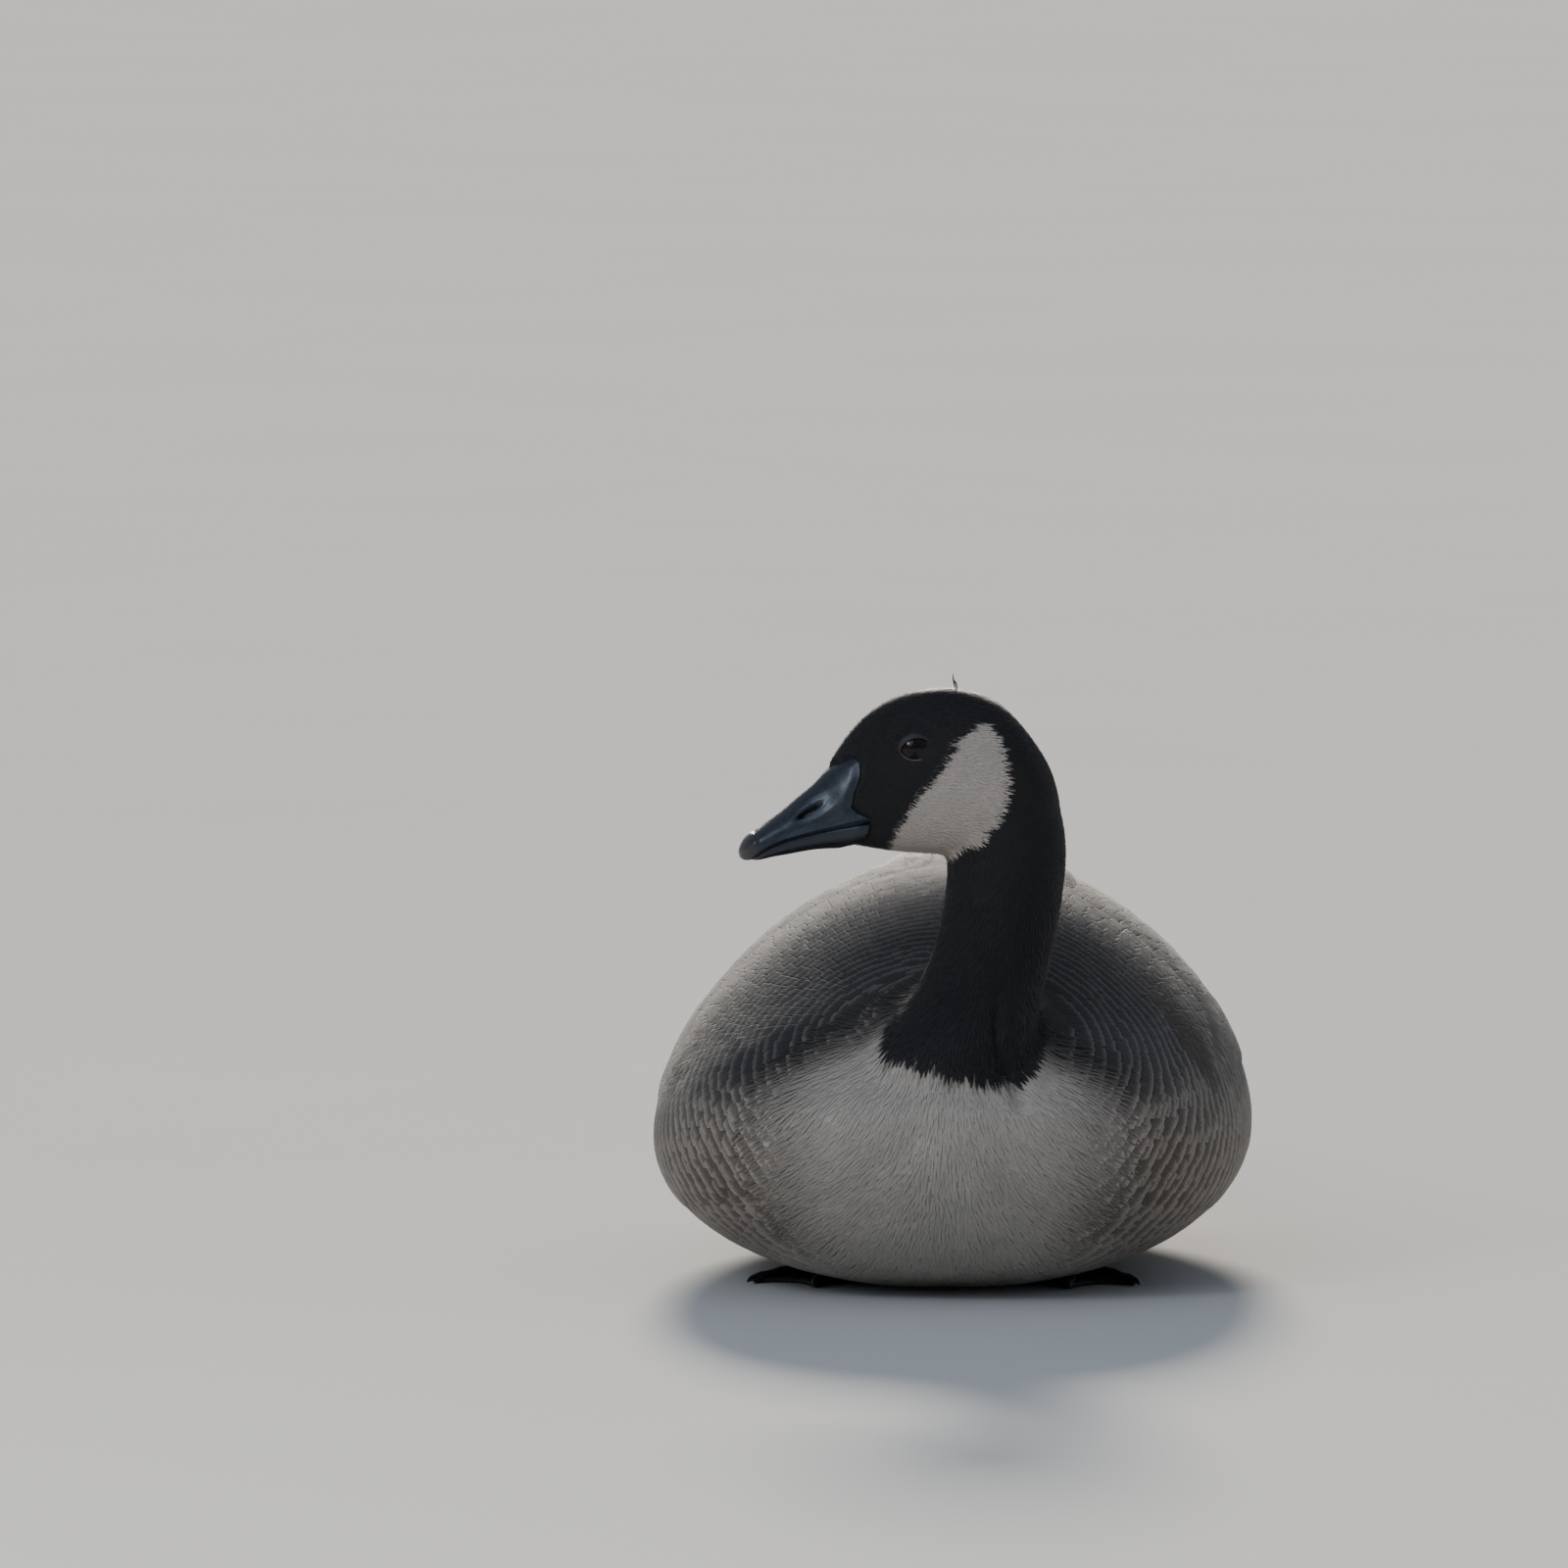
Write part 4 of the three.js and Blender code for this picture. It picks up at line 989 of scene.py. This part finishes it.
# white coverts over and under the tail
coverts = {"start": 262, "end": 344.0, "curve": 0.05, "apart": 5.0, "width": 10}  # shorter to the sides
covertLook = {**rowLook, "rows": 6, "across": 6, "fray": 0.12, "uneven": 0.12, "swing": 0.2, "tilt": 0.06,
              "shape": roundTip(0.5, 0.25)}


def onTail(p):
    return (p[:, 1] > coverts["start"]) & (p[:, 1] + coverts["curve"] * p[:, 0] ** 2 < coverts["end"] - 12)


covertFound = scatter(onTail, lambda p: coverts["apart"] + 0 * p[:, 0])
tailX, tailY, _ = covertFound[0].T
covertLength = coverts["end"] - coverts["curve"] * tailX ** 2 + 6 * dice.random(len(tailX)) - tailY
covertLength = np.clip(covertLength, 9, 30)
layBody("tailCoverts", covertFound, covertLength, coverts["width"] + 0 * covertLength, covertLook,
        "covertFeather")


# flight feathers, free of the skin

def curveThrough(path, t):
    # smooth curve through a few points, and its direction
    gap = np.linalg.norm(np.diff(path, axis=0), axis=1)
    at = np.concatenate([[0], np.cumsum(gap)])
    rows = np.concatenate([at[:, None], path], 1)
    reads = [reader(rows, k) for k in (1, 2, 3)]
    points = np.stack([read(t * at[-1]) for read in reads], -1)
    return points, unit(np.gradient(points, axis=0))


def roundVane(s):
    tip = np.clip((s - 0.62) / 0.385, 0, 1)
    return np.minimum(0.55 + 0.9 * s, 1) * np.sqrt(np.maximum(1 - tip ** 2, 0.03))


def pointedVane(s):
    return np.minimum(0.6 + s, 1) * (1 - 0.8 * np.clip((s - 0.45) / 0.55, 0, 1) ** 1.6)


# thickness, shaft, droop and wave are shares of the width
bladeLook = {"rows": 26, "across": 11, "thick": 0.021, "shaft": 0.021, "droop": 0.05, "wave": 0.01}


def layBlades(name, feathers, replaced):
    # closed vanes with a raised shaft, each a dictionary of path, width, shape, roll, ground and edge
    rows, across = bladeLook["rows"], bladeLook["across"]
    t, v = np.linspace(0, 1, rows), np.linspace(-1, 1, across)
    points, faces = [], []
    for feather in feathers:
        centre, ahead = curveThrough(np.array(feather["path"]), t)
        side = unit(np.cross([0, 0, 1.0], ahead))
        up = np.cross(ahead, side)
        side, up = (side * math.cos(feather["roll"]) + up * math.sin(feather["roll"]),
                    up * math.cos(feather["roll"]) - side * math.sin(feather["roll"]))
        half = feather["width"] / 2 * feather["shape"](t)
        notch = np.ones((rows, across))
        notch[:, 0 if dice.random() < 0.5 else -1] -= 0.06 * bell(t, 0.35 + 0.6 * dice.random(), 0.02)
        reach = half[:, None] * v[None] * notch
        shaft = bladeLook["shaft"] * bell(v, 0, 0.12)[None] * (1 - 0.7 * t[:, None])
        wave = bladeLook["wave"] * np.sin(t * 9 + dice.random() * 6)
        bend = wave[:, None] * v[None] - bladeLook["droop"] * (v ** 2)[None]
        thin = bladeLook["thick"] / 2 * (1 - 0.5 * np.abs(v))[None]
        flat = centre[:, None] + side[:, None] * reach[..., None]
        points += [flat + up[:, None] * (feather["width"] * (bend + thin + shaft))[..., None],
                   flat + up[:, None] * (feather["width"] * (bend - thin - shaft * 0.6))[..., None]]
    count, size = len(feathers), rows * across
    rim = sheetRim(rows, across)
    for k in range(count):
        top, low = 2 * k * size, (2 * k + 1) * size
        sheet = gridFaces(1, rows, across)
        faces += (sheet + top).tolist() + (sheet[:, ::-1] + low).tolist()
        faces += [(a + low, b + low, b + top, a + top) for a, b in zip(rim, rim[1:] + rim[:1])]
    obj = faceOutwards(meshFrom(name, np.concatenate([p.reshape(-1, 3) for p in points]), faces))
    sAll = np.broadcast_to(t[:, None], (count, 2, rows, across)).reshape(count, -1)
    vAll = np.broadcast_to(v[None], (count, 2, rows, across)).reshape(count, -1)
    luck = np.broadcast_to(dice.random(count)[:, None], sAll.shape)
    dress(obj, sAll, vAll, luck, np.array([tones[f["ground"]] for f in feathers]),
          np.array([f["edgeTone"] for f in feathers]))
    cells = math.ceil(math.sqrt(2 * count))
    cell = np.arange(2 * count).reshape(count, 2, 1)
    vPatch, sPatch = vAll.reshape(count, 2, -1), sAll.reshape(count, 2, -1)
    uv = np.stack([(cell % cells + 0.5 + 0.45 * vPatch) / cells,
                   (cell // cells + 0.05 + 0.9 * sPatch) / cells], -1)
    corners = np.empty(len(obj.data.loops), int)
    obj.data.loops.foreach_get("vertex_index", corners)
    obj.data.uv_layers.new(name="OFBake").data.foreach_set("uv", uv.reshape(-1, 2)[corners].ravel())
    finishPiece(obj, coats["flightFeather"])
    if replaced:
        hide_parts(replaced)
    return obj


def between(a, b, share):
    return a + (b - a) * share


wing = {"tertials": 7, "primaries": 7, "tertialWidth": 24, "primaryWidth": 19, "primaryRoll": 14,
        "primaryEdge": (0.05, 0.042, 0.036)}


def wingFeathers(side):
    # the primaries below, then the tertials from the lowest to the one next to the back
    feathers = []
    for k in range(wing["primaries"]):
        share = k / (wing["primaries"] - 1)
        drop = 6.0 * share
        feathers.append({
            "path": [domePoint(196, side * math.radians(57), -5 - 0.8 * drop),
                     (side * (49 + 4 * share), 240, 104 - drop), (side * (33 + 6 * share), 296, 106.6 - drop),
                     (side * between(12, 20, share), between(330, 390, share), 108.5 - drop)],
            "width": wing["primaryWidth"], "shape": pointedVane,
            "roll": side * math.radians(wing["primaryRoll"]),
            "ground": "tail", "edgeTone": wing["primaryEdge"]})
    for k in range(wing["tertials"]):
        share = 1 - k / (wing["tertials"] - 1)
        angle = side * math.radians(between(8, 52, share))
        tip = between(338, 288, (1 - share) ** 1.3) + 4 * (-1) ** k
        feathers.append({
            "path": [domePoint(186 - 14 * (1 - share), angle, -3.5 - share),
                     domePoint(218, angle * 0.97, -1.2 - share),
                     (side * between(10, 46, share), between(258, 270, share), between(126, 109, share)),
                     (side * between(9, 30, share), tip, between(114.5, 107.5, share))],
            "width": wing["tertialWidth"], "shape": roundVane,
            "roll": side * math.radians(between(4, 26, share)),
            "ground": "back", "edgeTone": tones["backEdge"]})
    return feathers


layBlades("flightLeft", wingFeathers(1), "wing_left")
layBlades("flightRight", wingFeathers(-1), "wing_right")

fan = {"feathers": 16, "pivot": np.array([0, 205.0, 91.0]), "tip": 408, "spread": 1.5, "width": 24,
       "roll": -1.2, "edge": (0.03, 0.026, 0.023)}


def tailFeathers():
    feathers = []
    for k in range(fan["feathers"]):
        place = k - (fan["feathers"] - 1) / 2
        outwards = abs(place)
        turn = math.radians(place * fan["spread"])
        height = 5.4 - 1.25 * outwards + (0.1 if place > 0 else -0.1)
        reach = fan["tip"] - fan["pivot"][1] - 2.2 * outwards
        path = [fan["pivot"] + np.array([math.sin(turn) * far, math.cos(turn) * far, height + rise])
                for far, rise in ((96, -1), (130, 4), (172, 3), (reach, 2))]
        feathers.append({"path": path, "width": fan["width"], "shape": roundVane,
                         "roll": math.radians(place * fan["roll"]), "ground": "tail",
                         "edgeTone": fan["edge"]})
    return feathers


layBlades("tailFeathers", tailFeathers(), "tail")


# place across and along, height and lean of each
crown = {"feathers": ((-1.0, 24.8, 7.0, 0.5), (-1.6, 25.6, 5.2, -1.0)), "root": 19.6, "width": 1.3,
         "roll": 0.4}


def crownFeathers():
    # two fine feathers that stand up from the crown
    feathers = []
    root = crown["root"]
    for side, far, high, lean in crown["feathers"]:
        path = np.array([[side, far, root], [side, far - 0.1, root + high * 0.5],
                         [side, far + lean, root + high]])
        feathers.append({"path": fromHead(path), "width": crown["width"], "shape": pointedVane,
                         "roll": crown["roll"], "ground": "black", "edgeTone": tones["blackEdge"]})
    return feathers


layBlades("crownFeathers", crownFeathers(), None)

# bill

nostril = {"y": -48.4, "z": -11.3, "tilt": math.radians(19), "long": 6.6, "high": 1.5, "deep": 3.2}


def upperRelief(p, fold):
    # pit and rim of the nostril, the hollow round it, the nail and the edge of the mouth
    y = p[..., 1]
    dy, dz = y - nostril["y"], p[..., 2] - nostril["z"]
    u = dy * math.cos(nostril["tilt"]) + dz * math.sin(nostril["tilt"])
    w = dz * math.cos(nostril["tilt"]) - dy * math.sin(nostril["tilt"])
    slit = np.hypot(u / nostril["long"], w / nostril["high"])
    depth = -nostril["deep"] * (1 - smooth(slit, 0.45, 1.05)) + 0.12 * bell(slit, 1.35, 0.22)
    depth = depth - 0.7 * (1 - smooth(np.hypot((u - 2) / 14, (w + 0.6) / 4.8), 0.3, 1.0))
    culmen = 0.35 * bell(fold, 0, 16) * smooth(y, -74, -60)
    nail = 0.3 * (1 - smooth(y, -73.4, -71.6)) * (1 - smooth(fold, 70, 95))
    seam = -0.1 * bell(y, -71.4, 0.8) * (1 - smooth(fold, 75, 95))
    lip = 0.45 * bell(fold, 97, 6) * smooth(y, -72, -60)
    groove = -0.3 * bell(fold, 84, 6) * smooth(y, -68, -56) * (1 - smooth(y, -40, -33))
    return depth + culmen + nail + seam + lip + groove


def lowerRelief(p, fold):
    keel = 0.3 * bell(fold, 180, 14) * smooth(p[..., 1], -72, -60)
    return keel - 0.35 * bell(fold, 128, 12) * smooth(p[..., 1], -70, -60)


def billPiece(name, rows, powers, tipRound, relief, replaced):
    section, wide = sectionOf(rows, powers)
    share = (np.arange(1, 101) / 100)[:, None] ** 1.25
    turn = fullTurn(144)
    fold = np.degrees(np.minimum(turn, 2 * math.pi - turn)) + 0 * share
    tip = rows[0, 0]
    root = section(-30 + 0 * turn, turn)
    y = tip + (billEdge(root[..., 0], root[..., 2]) - tip) * share
    curl = np.clip(1 - (y - tip) / tipRound, 0, 1)
    heart = np.stack([0 * y, y, wide(y)], -1)
    edge = section(y, turn + 0 * y)
    rings = heart + (edge - heart) * np.sqrt(1 - curl ** 2)[..., None]
    rings = rings + unit(edge - heart) * (relief(rings, fold) - 0.9 * smooth(share, 0.9, 1.0))[..., None]
    ends = np.array([[0, tip, float(wide(tip)) - 1], [0, -30, -18]])
    obj = loftInHead(name, rings, *ends)
    putAttribute(obj, "local", "FLOAT_VECTOR", np.concatenate([rings.reshape(-1, 3), ends]))
    finishPiece(obj, horn)
    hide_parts(replaced)
    return obj


# the slight blue of the dark and pale horn and the blue tint of its reflections are painted sky light on the
# black horn
hornLook = {"dark": (0.0055, 0.0065, 0.010), "pale": (0.011, 0.013, 0.019), "tip": (0.034, 0.025, 0.020),
            "under": (0.022, 0.017, 0.015), "skyTint": (0.72, 0.84, 1.0, 1), "coat": 0.2, "coatRough": 0.16}


def hornMaterial():
    made, shader, node, links = material("horn")
    local = readAttribute(node, "local", "Vector")
    _, along, low = node("SeparateXYZ", {"Vector": local}).outputs
    grain = noise(node, local, 0.55, 6.0, 0.6)
    drawn = node("VectorMath", {0: local, 1: (1.4, 0.16, 1.4)}, operation="MULTIPLY")  # lines along the bill
    lines = noise(node, drawn.outputs[0], 1.0, 4.0)
    base = blendColor(node, spread(node, grain, 0.35, 0.65), hornLook["dark"], hornLook["pale"])
    worn = calc(node, "MULTIPLY", spread(node, along, -70.0, -78.0), spread(node, lines, 0.35, 0.6, 0.4, 1.0))
    tipped = blendColor(node, worn, base, hornLook["tip"])
    under = calc(node, "MULTIPLY", spread(node, low, -24.0, -28.0), 0.5)
    links.new(blendColor(node, under, tipped, hornLook["under"]), shader.inputs["Base Color"])
    links.new(spread(node, grain, 0.3, 0.7, 0.33, 0.48), shader.inputs["Roughness"])
    bumpInto(node, links, shader, calc(node, "ADD", calc(node, "MULTIPLY", lines, 0.6), grain), 0.35, 0.0004)
    # painted reflection colour: the reflections are tinted sky blue
    setSockets(shader, {"Specular Tint": hornLook["skyTint"], "Coat Weight": hornLook["coat"],
                        "Coat Roughness": hornLook["coatRough"]})
    return made


horn = hornMaterial()
billPiece("billUpper", upperBillRows, (2.1, 5), 7, upperRelief, "bill_upper")
billPiece("billLower", lowerBillRows, (5, 2.4), 6, lowerRelief, "bill_lower")


# eyes and lids

def ballPoints(radius, rows, sides):
    lat = np.linspace(0, math.pi, rows + 2)[1:-1, None]
    turn = fullTurn(sides)
    ball = np.stack([np.cos(lat) + 0 * turn, np.sin(lat) * np.cos(turn), np.sin(lat) * np.sin(turn)], -1)
    return ball * radius


eyeLook = {"irisDark": (0.004, 0.0022, 0.0016), "irisPale": (0.009, 0.0046, 0.003),
           "pupil": (0.0015, 0.0015, 0.002), "pupilRadius": 2.6}
lidLook = {"dark": (0.012, 0.011, 0.012), "pale": (0.026, 0.024, 0.025), "rim": (0.10, 0.092, 0.09)}


def eyeMaterial():
    made, shader, node, links = material("eyeGloss")
    local = readAttribute(node, "local", "Vector")
    _, along, high = node("SeparateXYZ", {"Vector": local}).outputs
    ring = calc(node, "SQRT", calc(node, "ADD", calc(node, "MULTIPLY", along, along),
                                   calc(node, "MULTIPLY", high, high)))
    rays = noise(node, local, 1.6, 5.0, 0.7)
    iris = blendColor(node, spread(node, rays, 0.35, 0.65), eyeLook["irisDark"], eyeLook["irisPale"])
    pupil = spread(node, ring, eyeLook["pupilRadius"] + 0.4, eyeLook["pupilRadius"])
    links.new(blendColor(node, pupil, iris, eyeLook["pupil"]), shader.inputs["Base Color"])
    links.new(spread(node, rays, 0.3, 0.7, 0.05, 0.1), shader.inputs["Roughness"])
    setSockets(shader, {"Specular IOR Level": 0.05, "Coat Weight": 0.6, "Coat IOR": 1.4,
                        "Coat Roughness": 0.02})
    return made


def lidMaterial():
    made, shader, node, links = material("lidSkin")
    local = readAttribute(node, "local", "Vector")
    outwards, _, high = node("SeparateXYZ", {"Vector": local}).outputs
    fine = noise(node, local, 1.3, 5.0, 0.7)
    dark = blendColor(node, spread(node, fine, 0.3, 0.7), lidLook["dark"], lidLook["pale"])
    rim = calc(node, "MULTIPLY", spread(node, outwards, 0.34, 0.12), spread(node, high, 0.3, -0.5, 0.04, 1.0))
    links.new(blendColor(node, rim, dark, lidLook["rim"]), shader.inputs["Base Color"])
    links.new(spread(node, fine, 0.3, 0.7, 0.4, 0.6), shader.inputs["Roughness"])
    bumpInto(node, links, shader, fine, 0.4, 0.0003)
    return made


eyeGloss, lidSkin = eyeMaterial(), lidMaterial()
# from the opening outwards: share of the way, ellipse along, ellipse high, distance from the eye's centre
lidRows = np.array([
    [0, 5.8, 4.2, 8.0], [0.12, 6.05, 4.45, 8.7], [0.24, 6.35, 4.75, 9.05], [0.4, 6.8, 5.3, 9.05],
    [0.7, 7.8, 6.8, 8.5], [1, 8.3, 7.6, 8.1]])
lid = {"rows": 24, "sides": 96, "thick": 0.9, "ripple": 0.12, "corner": 0.09}


def eyePieces(name, side):
    centre = np.array([side * eye["x"], 0, eye["z"]])
    mirror = [side, 1, 1]
    ball = ballPoints(eye["radius"], 40, 64)
    poles = np.array([[eye["radius"], 0, 0], [-eye["radius"], 0, 0]])
    obj = loftInHead("eye" + name, ball * mirror + centre, *(poles * mirror + centre))
    putAttribute(obj, "local", "FLOAT_VECTOR", np.concatenate([ball.reshape(-1, 3), poles]))
    finishPiece(obj, eyeGloss)
    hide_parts("eye_" + name.lower())
    sides = lid["sides"]
    share, turn = np.linspace(0, 1, lid["rows"])[:, None], fullTurn(sides)
    along, high, far = (reader(lidRows, k)(share) for k in (1, 2, 3))
    far = far + lid["ripple"] * np.sin(share * 26 + 0.8 * np.sin(turn * 2)) * smooth(share, 0.15, 0.4)
    corner = 1 + lid["corner"] * np.abs(np.cos(turn)) ** 8 * (1 - share)
    flatY, flatZ = along * np.cos(turn) * corner, high * np.sin(turn)
    c, s = math.cos(eye["tilt"]), math.sin(eye["tilt"])
    y, z = flatY * c - flatZ * s, flatY * s + flatZ * c
    x = np.sqrt(np.maximum(far ** 2 - y ** 2 - z ** 2, 0.4))
    shell = np.stack([x * side, y, z], -1)
    rings = np.concatenate([shell[::-1], shell - unit(shell) * lid["thick"]])
    faces = []
    for i in range(len(rings)):
        a, b = i * sides, (i + 1) % len(rings) * sides
        faces += [(a + j, a + (j + 1) % sides, b + (j + 1) % sides, b + j) for j in range(sides)]
    obj = faceOutwards(meshFrom("lids" + name, fromHead(rings.reshape(-1, 3) + centre), faces))
    where = np.stack([share + 0 * turn, np.cos(turn) + 0 * share, np.sin(turn) + 0 * share], -1)
    putAttribute(obj, "local", "FLOAT_VECTOR", np.concatenate([where[::-1], where]).reshape(-1, 3))
    finishPiece(obj, lidSkin)


eyePieces("Left", 1)
eyePieces("Right", -1)


# feet and shanks, folded under the belly

# each toe: turn outwards, length
foot = {"ankle": (50, 2, 2.6), "heel": (43.0, 17, 2.2), "hock": (46, 84, 6.3), "shankTop": (46.5, 91, 8.5),
        "toes": ((-21, 66), (2, 80), (24, 70)), "claw": 8, "scute": 2.3}
web = {"inwards": 0.86, "rows": 22, "across": 40, "high": 1.25, "thick": 0.65, "low": 0.12}


def tube(path, radii, sides=20, relief=0.0, squashed=1.0):
    # rings of points round a bent line, with scutes across its top
    ahead = unit(np.gradient(path, axis=0))
    side = unit(np.cross([0, 0, 1.0], ahead))
    up = np.cross(ahead, side)
    turn = fullTurn(sides)[..., None]
    run = np.concatenate([[0], np.cumsum(np.linalg.norm(np.diff(path, axis=0), axis=1))])
    scute = relief * np.abs(np.sin(run * math.pi / foot["scute"]))[:, None, None]
    radius = radii[:, None, None] + scute * np.clip(np.sin(turn) + 0.3, 0, 1)
    rings = path[:, None] + side[:, None] * np.cos(turn) * radius
    rings = rings + up[:, None] * np.sin(turn) * radius * squashed
    rings[..., 2] = np.maximum(rings[..., 2], 0.05)  # flat where it meets the floor
    return rings, path[0], path[-1] + ahead[-1] * radii[-1] * 0.5


def webSheet(name, ankle, tipA, tipB):
    # closed web between two toes, its free edge curved in and its skin in low folds
    rows, across = web["rows"], web["across"]
    u, v = np.linspace(0, 1, rows)[:, None], np.linspace(0.02, 1, across)[None]
    sag = 1 - (1 - web["inwards"]) * 4 * u * (1 - u)
    tip = tipA[None] * (1 - u) + tipB[None] * u
    flat = ankle[None, None] + (tip - ankle)[:, None] * (v * sag)[..., None]
    wave = 0.22 * np.sin(u * 19 + v * 3) + 0.12 * np.sin(v * 60 + u * 5)
    top, low = flat.copy(), flat.copy()
    top[..., 2], low[..., 2] = web["high"] + wave + web["thick"], web["low"]
    size, rim = rows * across, sheetRim(rows, across)
    faces = gridFaces(1, rows, across)
    faces = faces.tolist() + (faces[:, ::-1] + size).tolist()
    faces += [(a + size, b + size, b, a) for a, b in zip(rim, rim[1:] + rim[:1])]
    return faceOutwards(meshFrom(name, np.concatenate([top.reshape(-1, 3), low.reshape(-1, 3)]), faces))


def footPieces(name, side):
    ankle, heel, hock, back = (np.array(foot[key], float) * [side, 1, 1]
                               for key in ("ankle", "heel", "hock", "shankTop"))
    tips, parts, claws = [], [], []
    for k, (turn, length) in enumerate(foot["toes"]):
        way = np.array([side * math.sin(math.radians(turn)), -math.cos(math.radians(turn)), 0])
        tip = ankle * [1, 1, 0] + way * length + [0, 0, 1.9]
        t = np.linspace(0, 1, 70)[:, None]
        knuckles = 0.35 * (bell(t, 0.35, 0.05) + bell(t, 0.68, 0.05) + bell(t, 0.93, 0.04))[:, 0]
        rings, start, end = tube(ankle + (tip - ankle) * t, 3.3 - 1.2 * t[:, 0] + knuckles, 20, 0.22)
        parts.append(loft(f"toe{name}{k}", rings, start, end))
        bend = np.stack([0 * t[:, 0], 0 * t[:, 0], 0.9 * np.sin(t[:, 0] * 3.0) - 0.5 * t[:, 0]], -1)
        rings, start, end = tube(tip + way * foot["claw"] * t + bend, 1.9 - 1.25 * t[:, 0], 14)
        claws.append(loft(f"claw{name}{k}", rings, start, end))
        tips.append(tip)
    parts += [webSheet(f"web{name}{k}", ankle, tips[k], tips[k + 1]) for k in (0, 1)]
    t = np.linspace(0, 1, 24)[:, None]
    parts.append(loft("heel" + name, *tube(ankle + (heel - ankle) * t, 2.4 - 1.2 * t[:, 0], 14, 0.15)))
    whole = join(parts, "foot" + name)
    finishPiece(whole, scaledSkin)
    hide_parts("foot_" + name.lower())
    finishPiece(join(claws, "claws" + name), clawHorn)
    shank = np.concatenate([back + (hock - back) * np.linspace(0, 1, 8)[:-1, None],
                            hock + (ankle + [0, 1, 2.2] - hock) * np.linspace(0, 1, 60)[:, None]])
    radii = np.concatenate([np.linspace(4, 6, 8)[:-1], np.linspace(6, 4.4, 60)])
    leg = loft("shank" + name, *tube(shank, radii, 24, 0.3, 0.95))
    finishPiece(leg, scaledSkin)
    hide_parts("leg_" + name.lower())


def leatherMaterial(name, dark, pale, scale, rough):
    made, shader, node, links = material(name)
    where = node("TexCoord").outputs["Object"]
    cells = node("TexVoronoi", {"Vector": where, "Scale": scale}, feature="DISTANCE_TO_EDGE")
    cells = cells.outputs["Distance"]
    fine = noise(node, where, scale * 1.7, 4.0)
    tone = calc(node, "MULTIPLY", spread(node, cells, 0.0, 0.22), spread(node, fine, 0.3, 0.7, 0.4, 1.0))
    links.new(blendColor(node, tone, dark, pale), shader.inputs["Base Color"])
    links.new(spread(node, fine, 0.3, 0.7, rough, rough + 0.2), shader.inputs["Roughness"])
    bumpInto(node, links, shader, calc(node, "MINIMUM", cells, 0.2), 0.7, 0.0015)
    return made


scaledSkin = leatherMaterial("scaledSkin", (0.007, 0.0068, 0.0066), (0.024, 0.023, 0.022), 700.0, 0.42)
clawHorn = leatherMaterial("clawHorn", (0.012, 0.010, 0.009), (0.03, 0.025, 0.021), 90.0, 0.3)
footPieces("Left", 1)
footPieces("Right", -1)

# floor, light and camera

stageLook = {"half": 60000.0, "sky": (0.70, 0.80, 0.95), "skyPower": 0.42, "floor": (0.535, 0.53, 0.52),
             "floorPale": (0.545, 0.54, 0.53)}
# size is in degrees for a sun, in metres for a disk
lights = {
    "backSun": {"kind": "SUN", "place": (-0.13, 1.5, 0.5), "aim": (0, 0, 0), "power": 10.0,
                "color": (1.0, 0.92, 0.81), "size": 10},
    "frontFill": {"kind": "SUN", "place": (-1.0, -2.0, 1.5), "aim": (0, 0, 0), "power": 0.62,
                  "color": (0.76, 0.87, 1.0), "size": 40},
    "catchLight": {"kind": "AREA", "place": (-0.9, -1.5, 1.1), "aim": (0, -0.15, 0.2), "power": 6,
                   "color": (0.85, 0.92, 1.0), "size": 0.45}}


def addLight(name, kind, place, aim, power, color, size):
    lamp = bpy.data.lights.new(name, kind)
    lamp.energy, lamp.color = power, color
    if kind == "SUN":
        lamp.angle = math.radians(size)
    else:
        lamp.shape, lamp.size = "DISK", size
    obj = bpy.data.objects.new(name, lamp)
    obj.location = place
    obj.rotation_euler = (Vector(aim) - Vector(place)).to_track_quat("-Z", "Y").to_euler()
    bpy.context.scene.collection.objects.link(obj)
    return obj


def paleFloor():
    corners = np.array([[-1, -1, 0], [1, -1, 0], [1, 1, 0], [-1, 1, 0]]) * stageLook["half"]
    obj = meshFrom("floor", corners, [(0, 1, 2, 3)])
    made, shader, node, links = material("paleFloor")
    cloud = spread(node, noise(node, node("TexCoord").outputs["Object"], 3.0, 3.0), 0.3, 0.7)
    tone = blendColor(node, cloud, stageLook["floor"], stageLook["floorPale"])
    links.new(tone, shader.inputs["Base Color"])
    setSockets(shader, {"Roughness": 1.0, "Specular IOR Level": 0.0})
    paint(obj, made)
    return obj


paleFloor()
for name, look in lights.items():
    addLight(name, **look)
world = bpy.data.worlds.new("studio")
bpy.context.scene.world = world
world.use_nodes = True
setSockets(world.node_tree.nodes["Background"],
           {"Color": (*stageLook["sky"], 1), "Strength": stageLook["skyPower"]})

view = {"azimuth": math.radians(3.5), "elevation": math.radians(4.5), "away": 9.0, "width": 0.656,
        "aim": Vector((-0.069, -0.030, 0.2067))}
towards = Vector((math.sin(view["azimuth"]) * math.cos(view["elevation"]),
                  -math.cos(view["azimuth"]) * math.cos(view["elevation"]), math.sin(view["elevation"])))
lens = bpy.data.cameras.new("camera")
lens.sensor_width = 36
lens.lens = lens.sensor_width * view["away"] / view["width"]
lens.clip_end = 200
camera = bpy.data.objects.new("camera", lens)
camera.location = view["aim"] + towards * view["away"]
camera.rotation_euler = towards.to_track_quat("Z", "Y").to_euler()
bpy.context.scene.collection.objects.link(camera)
bpy.context.scene.camera = camera

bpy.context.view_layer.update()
say("done")
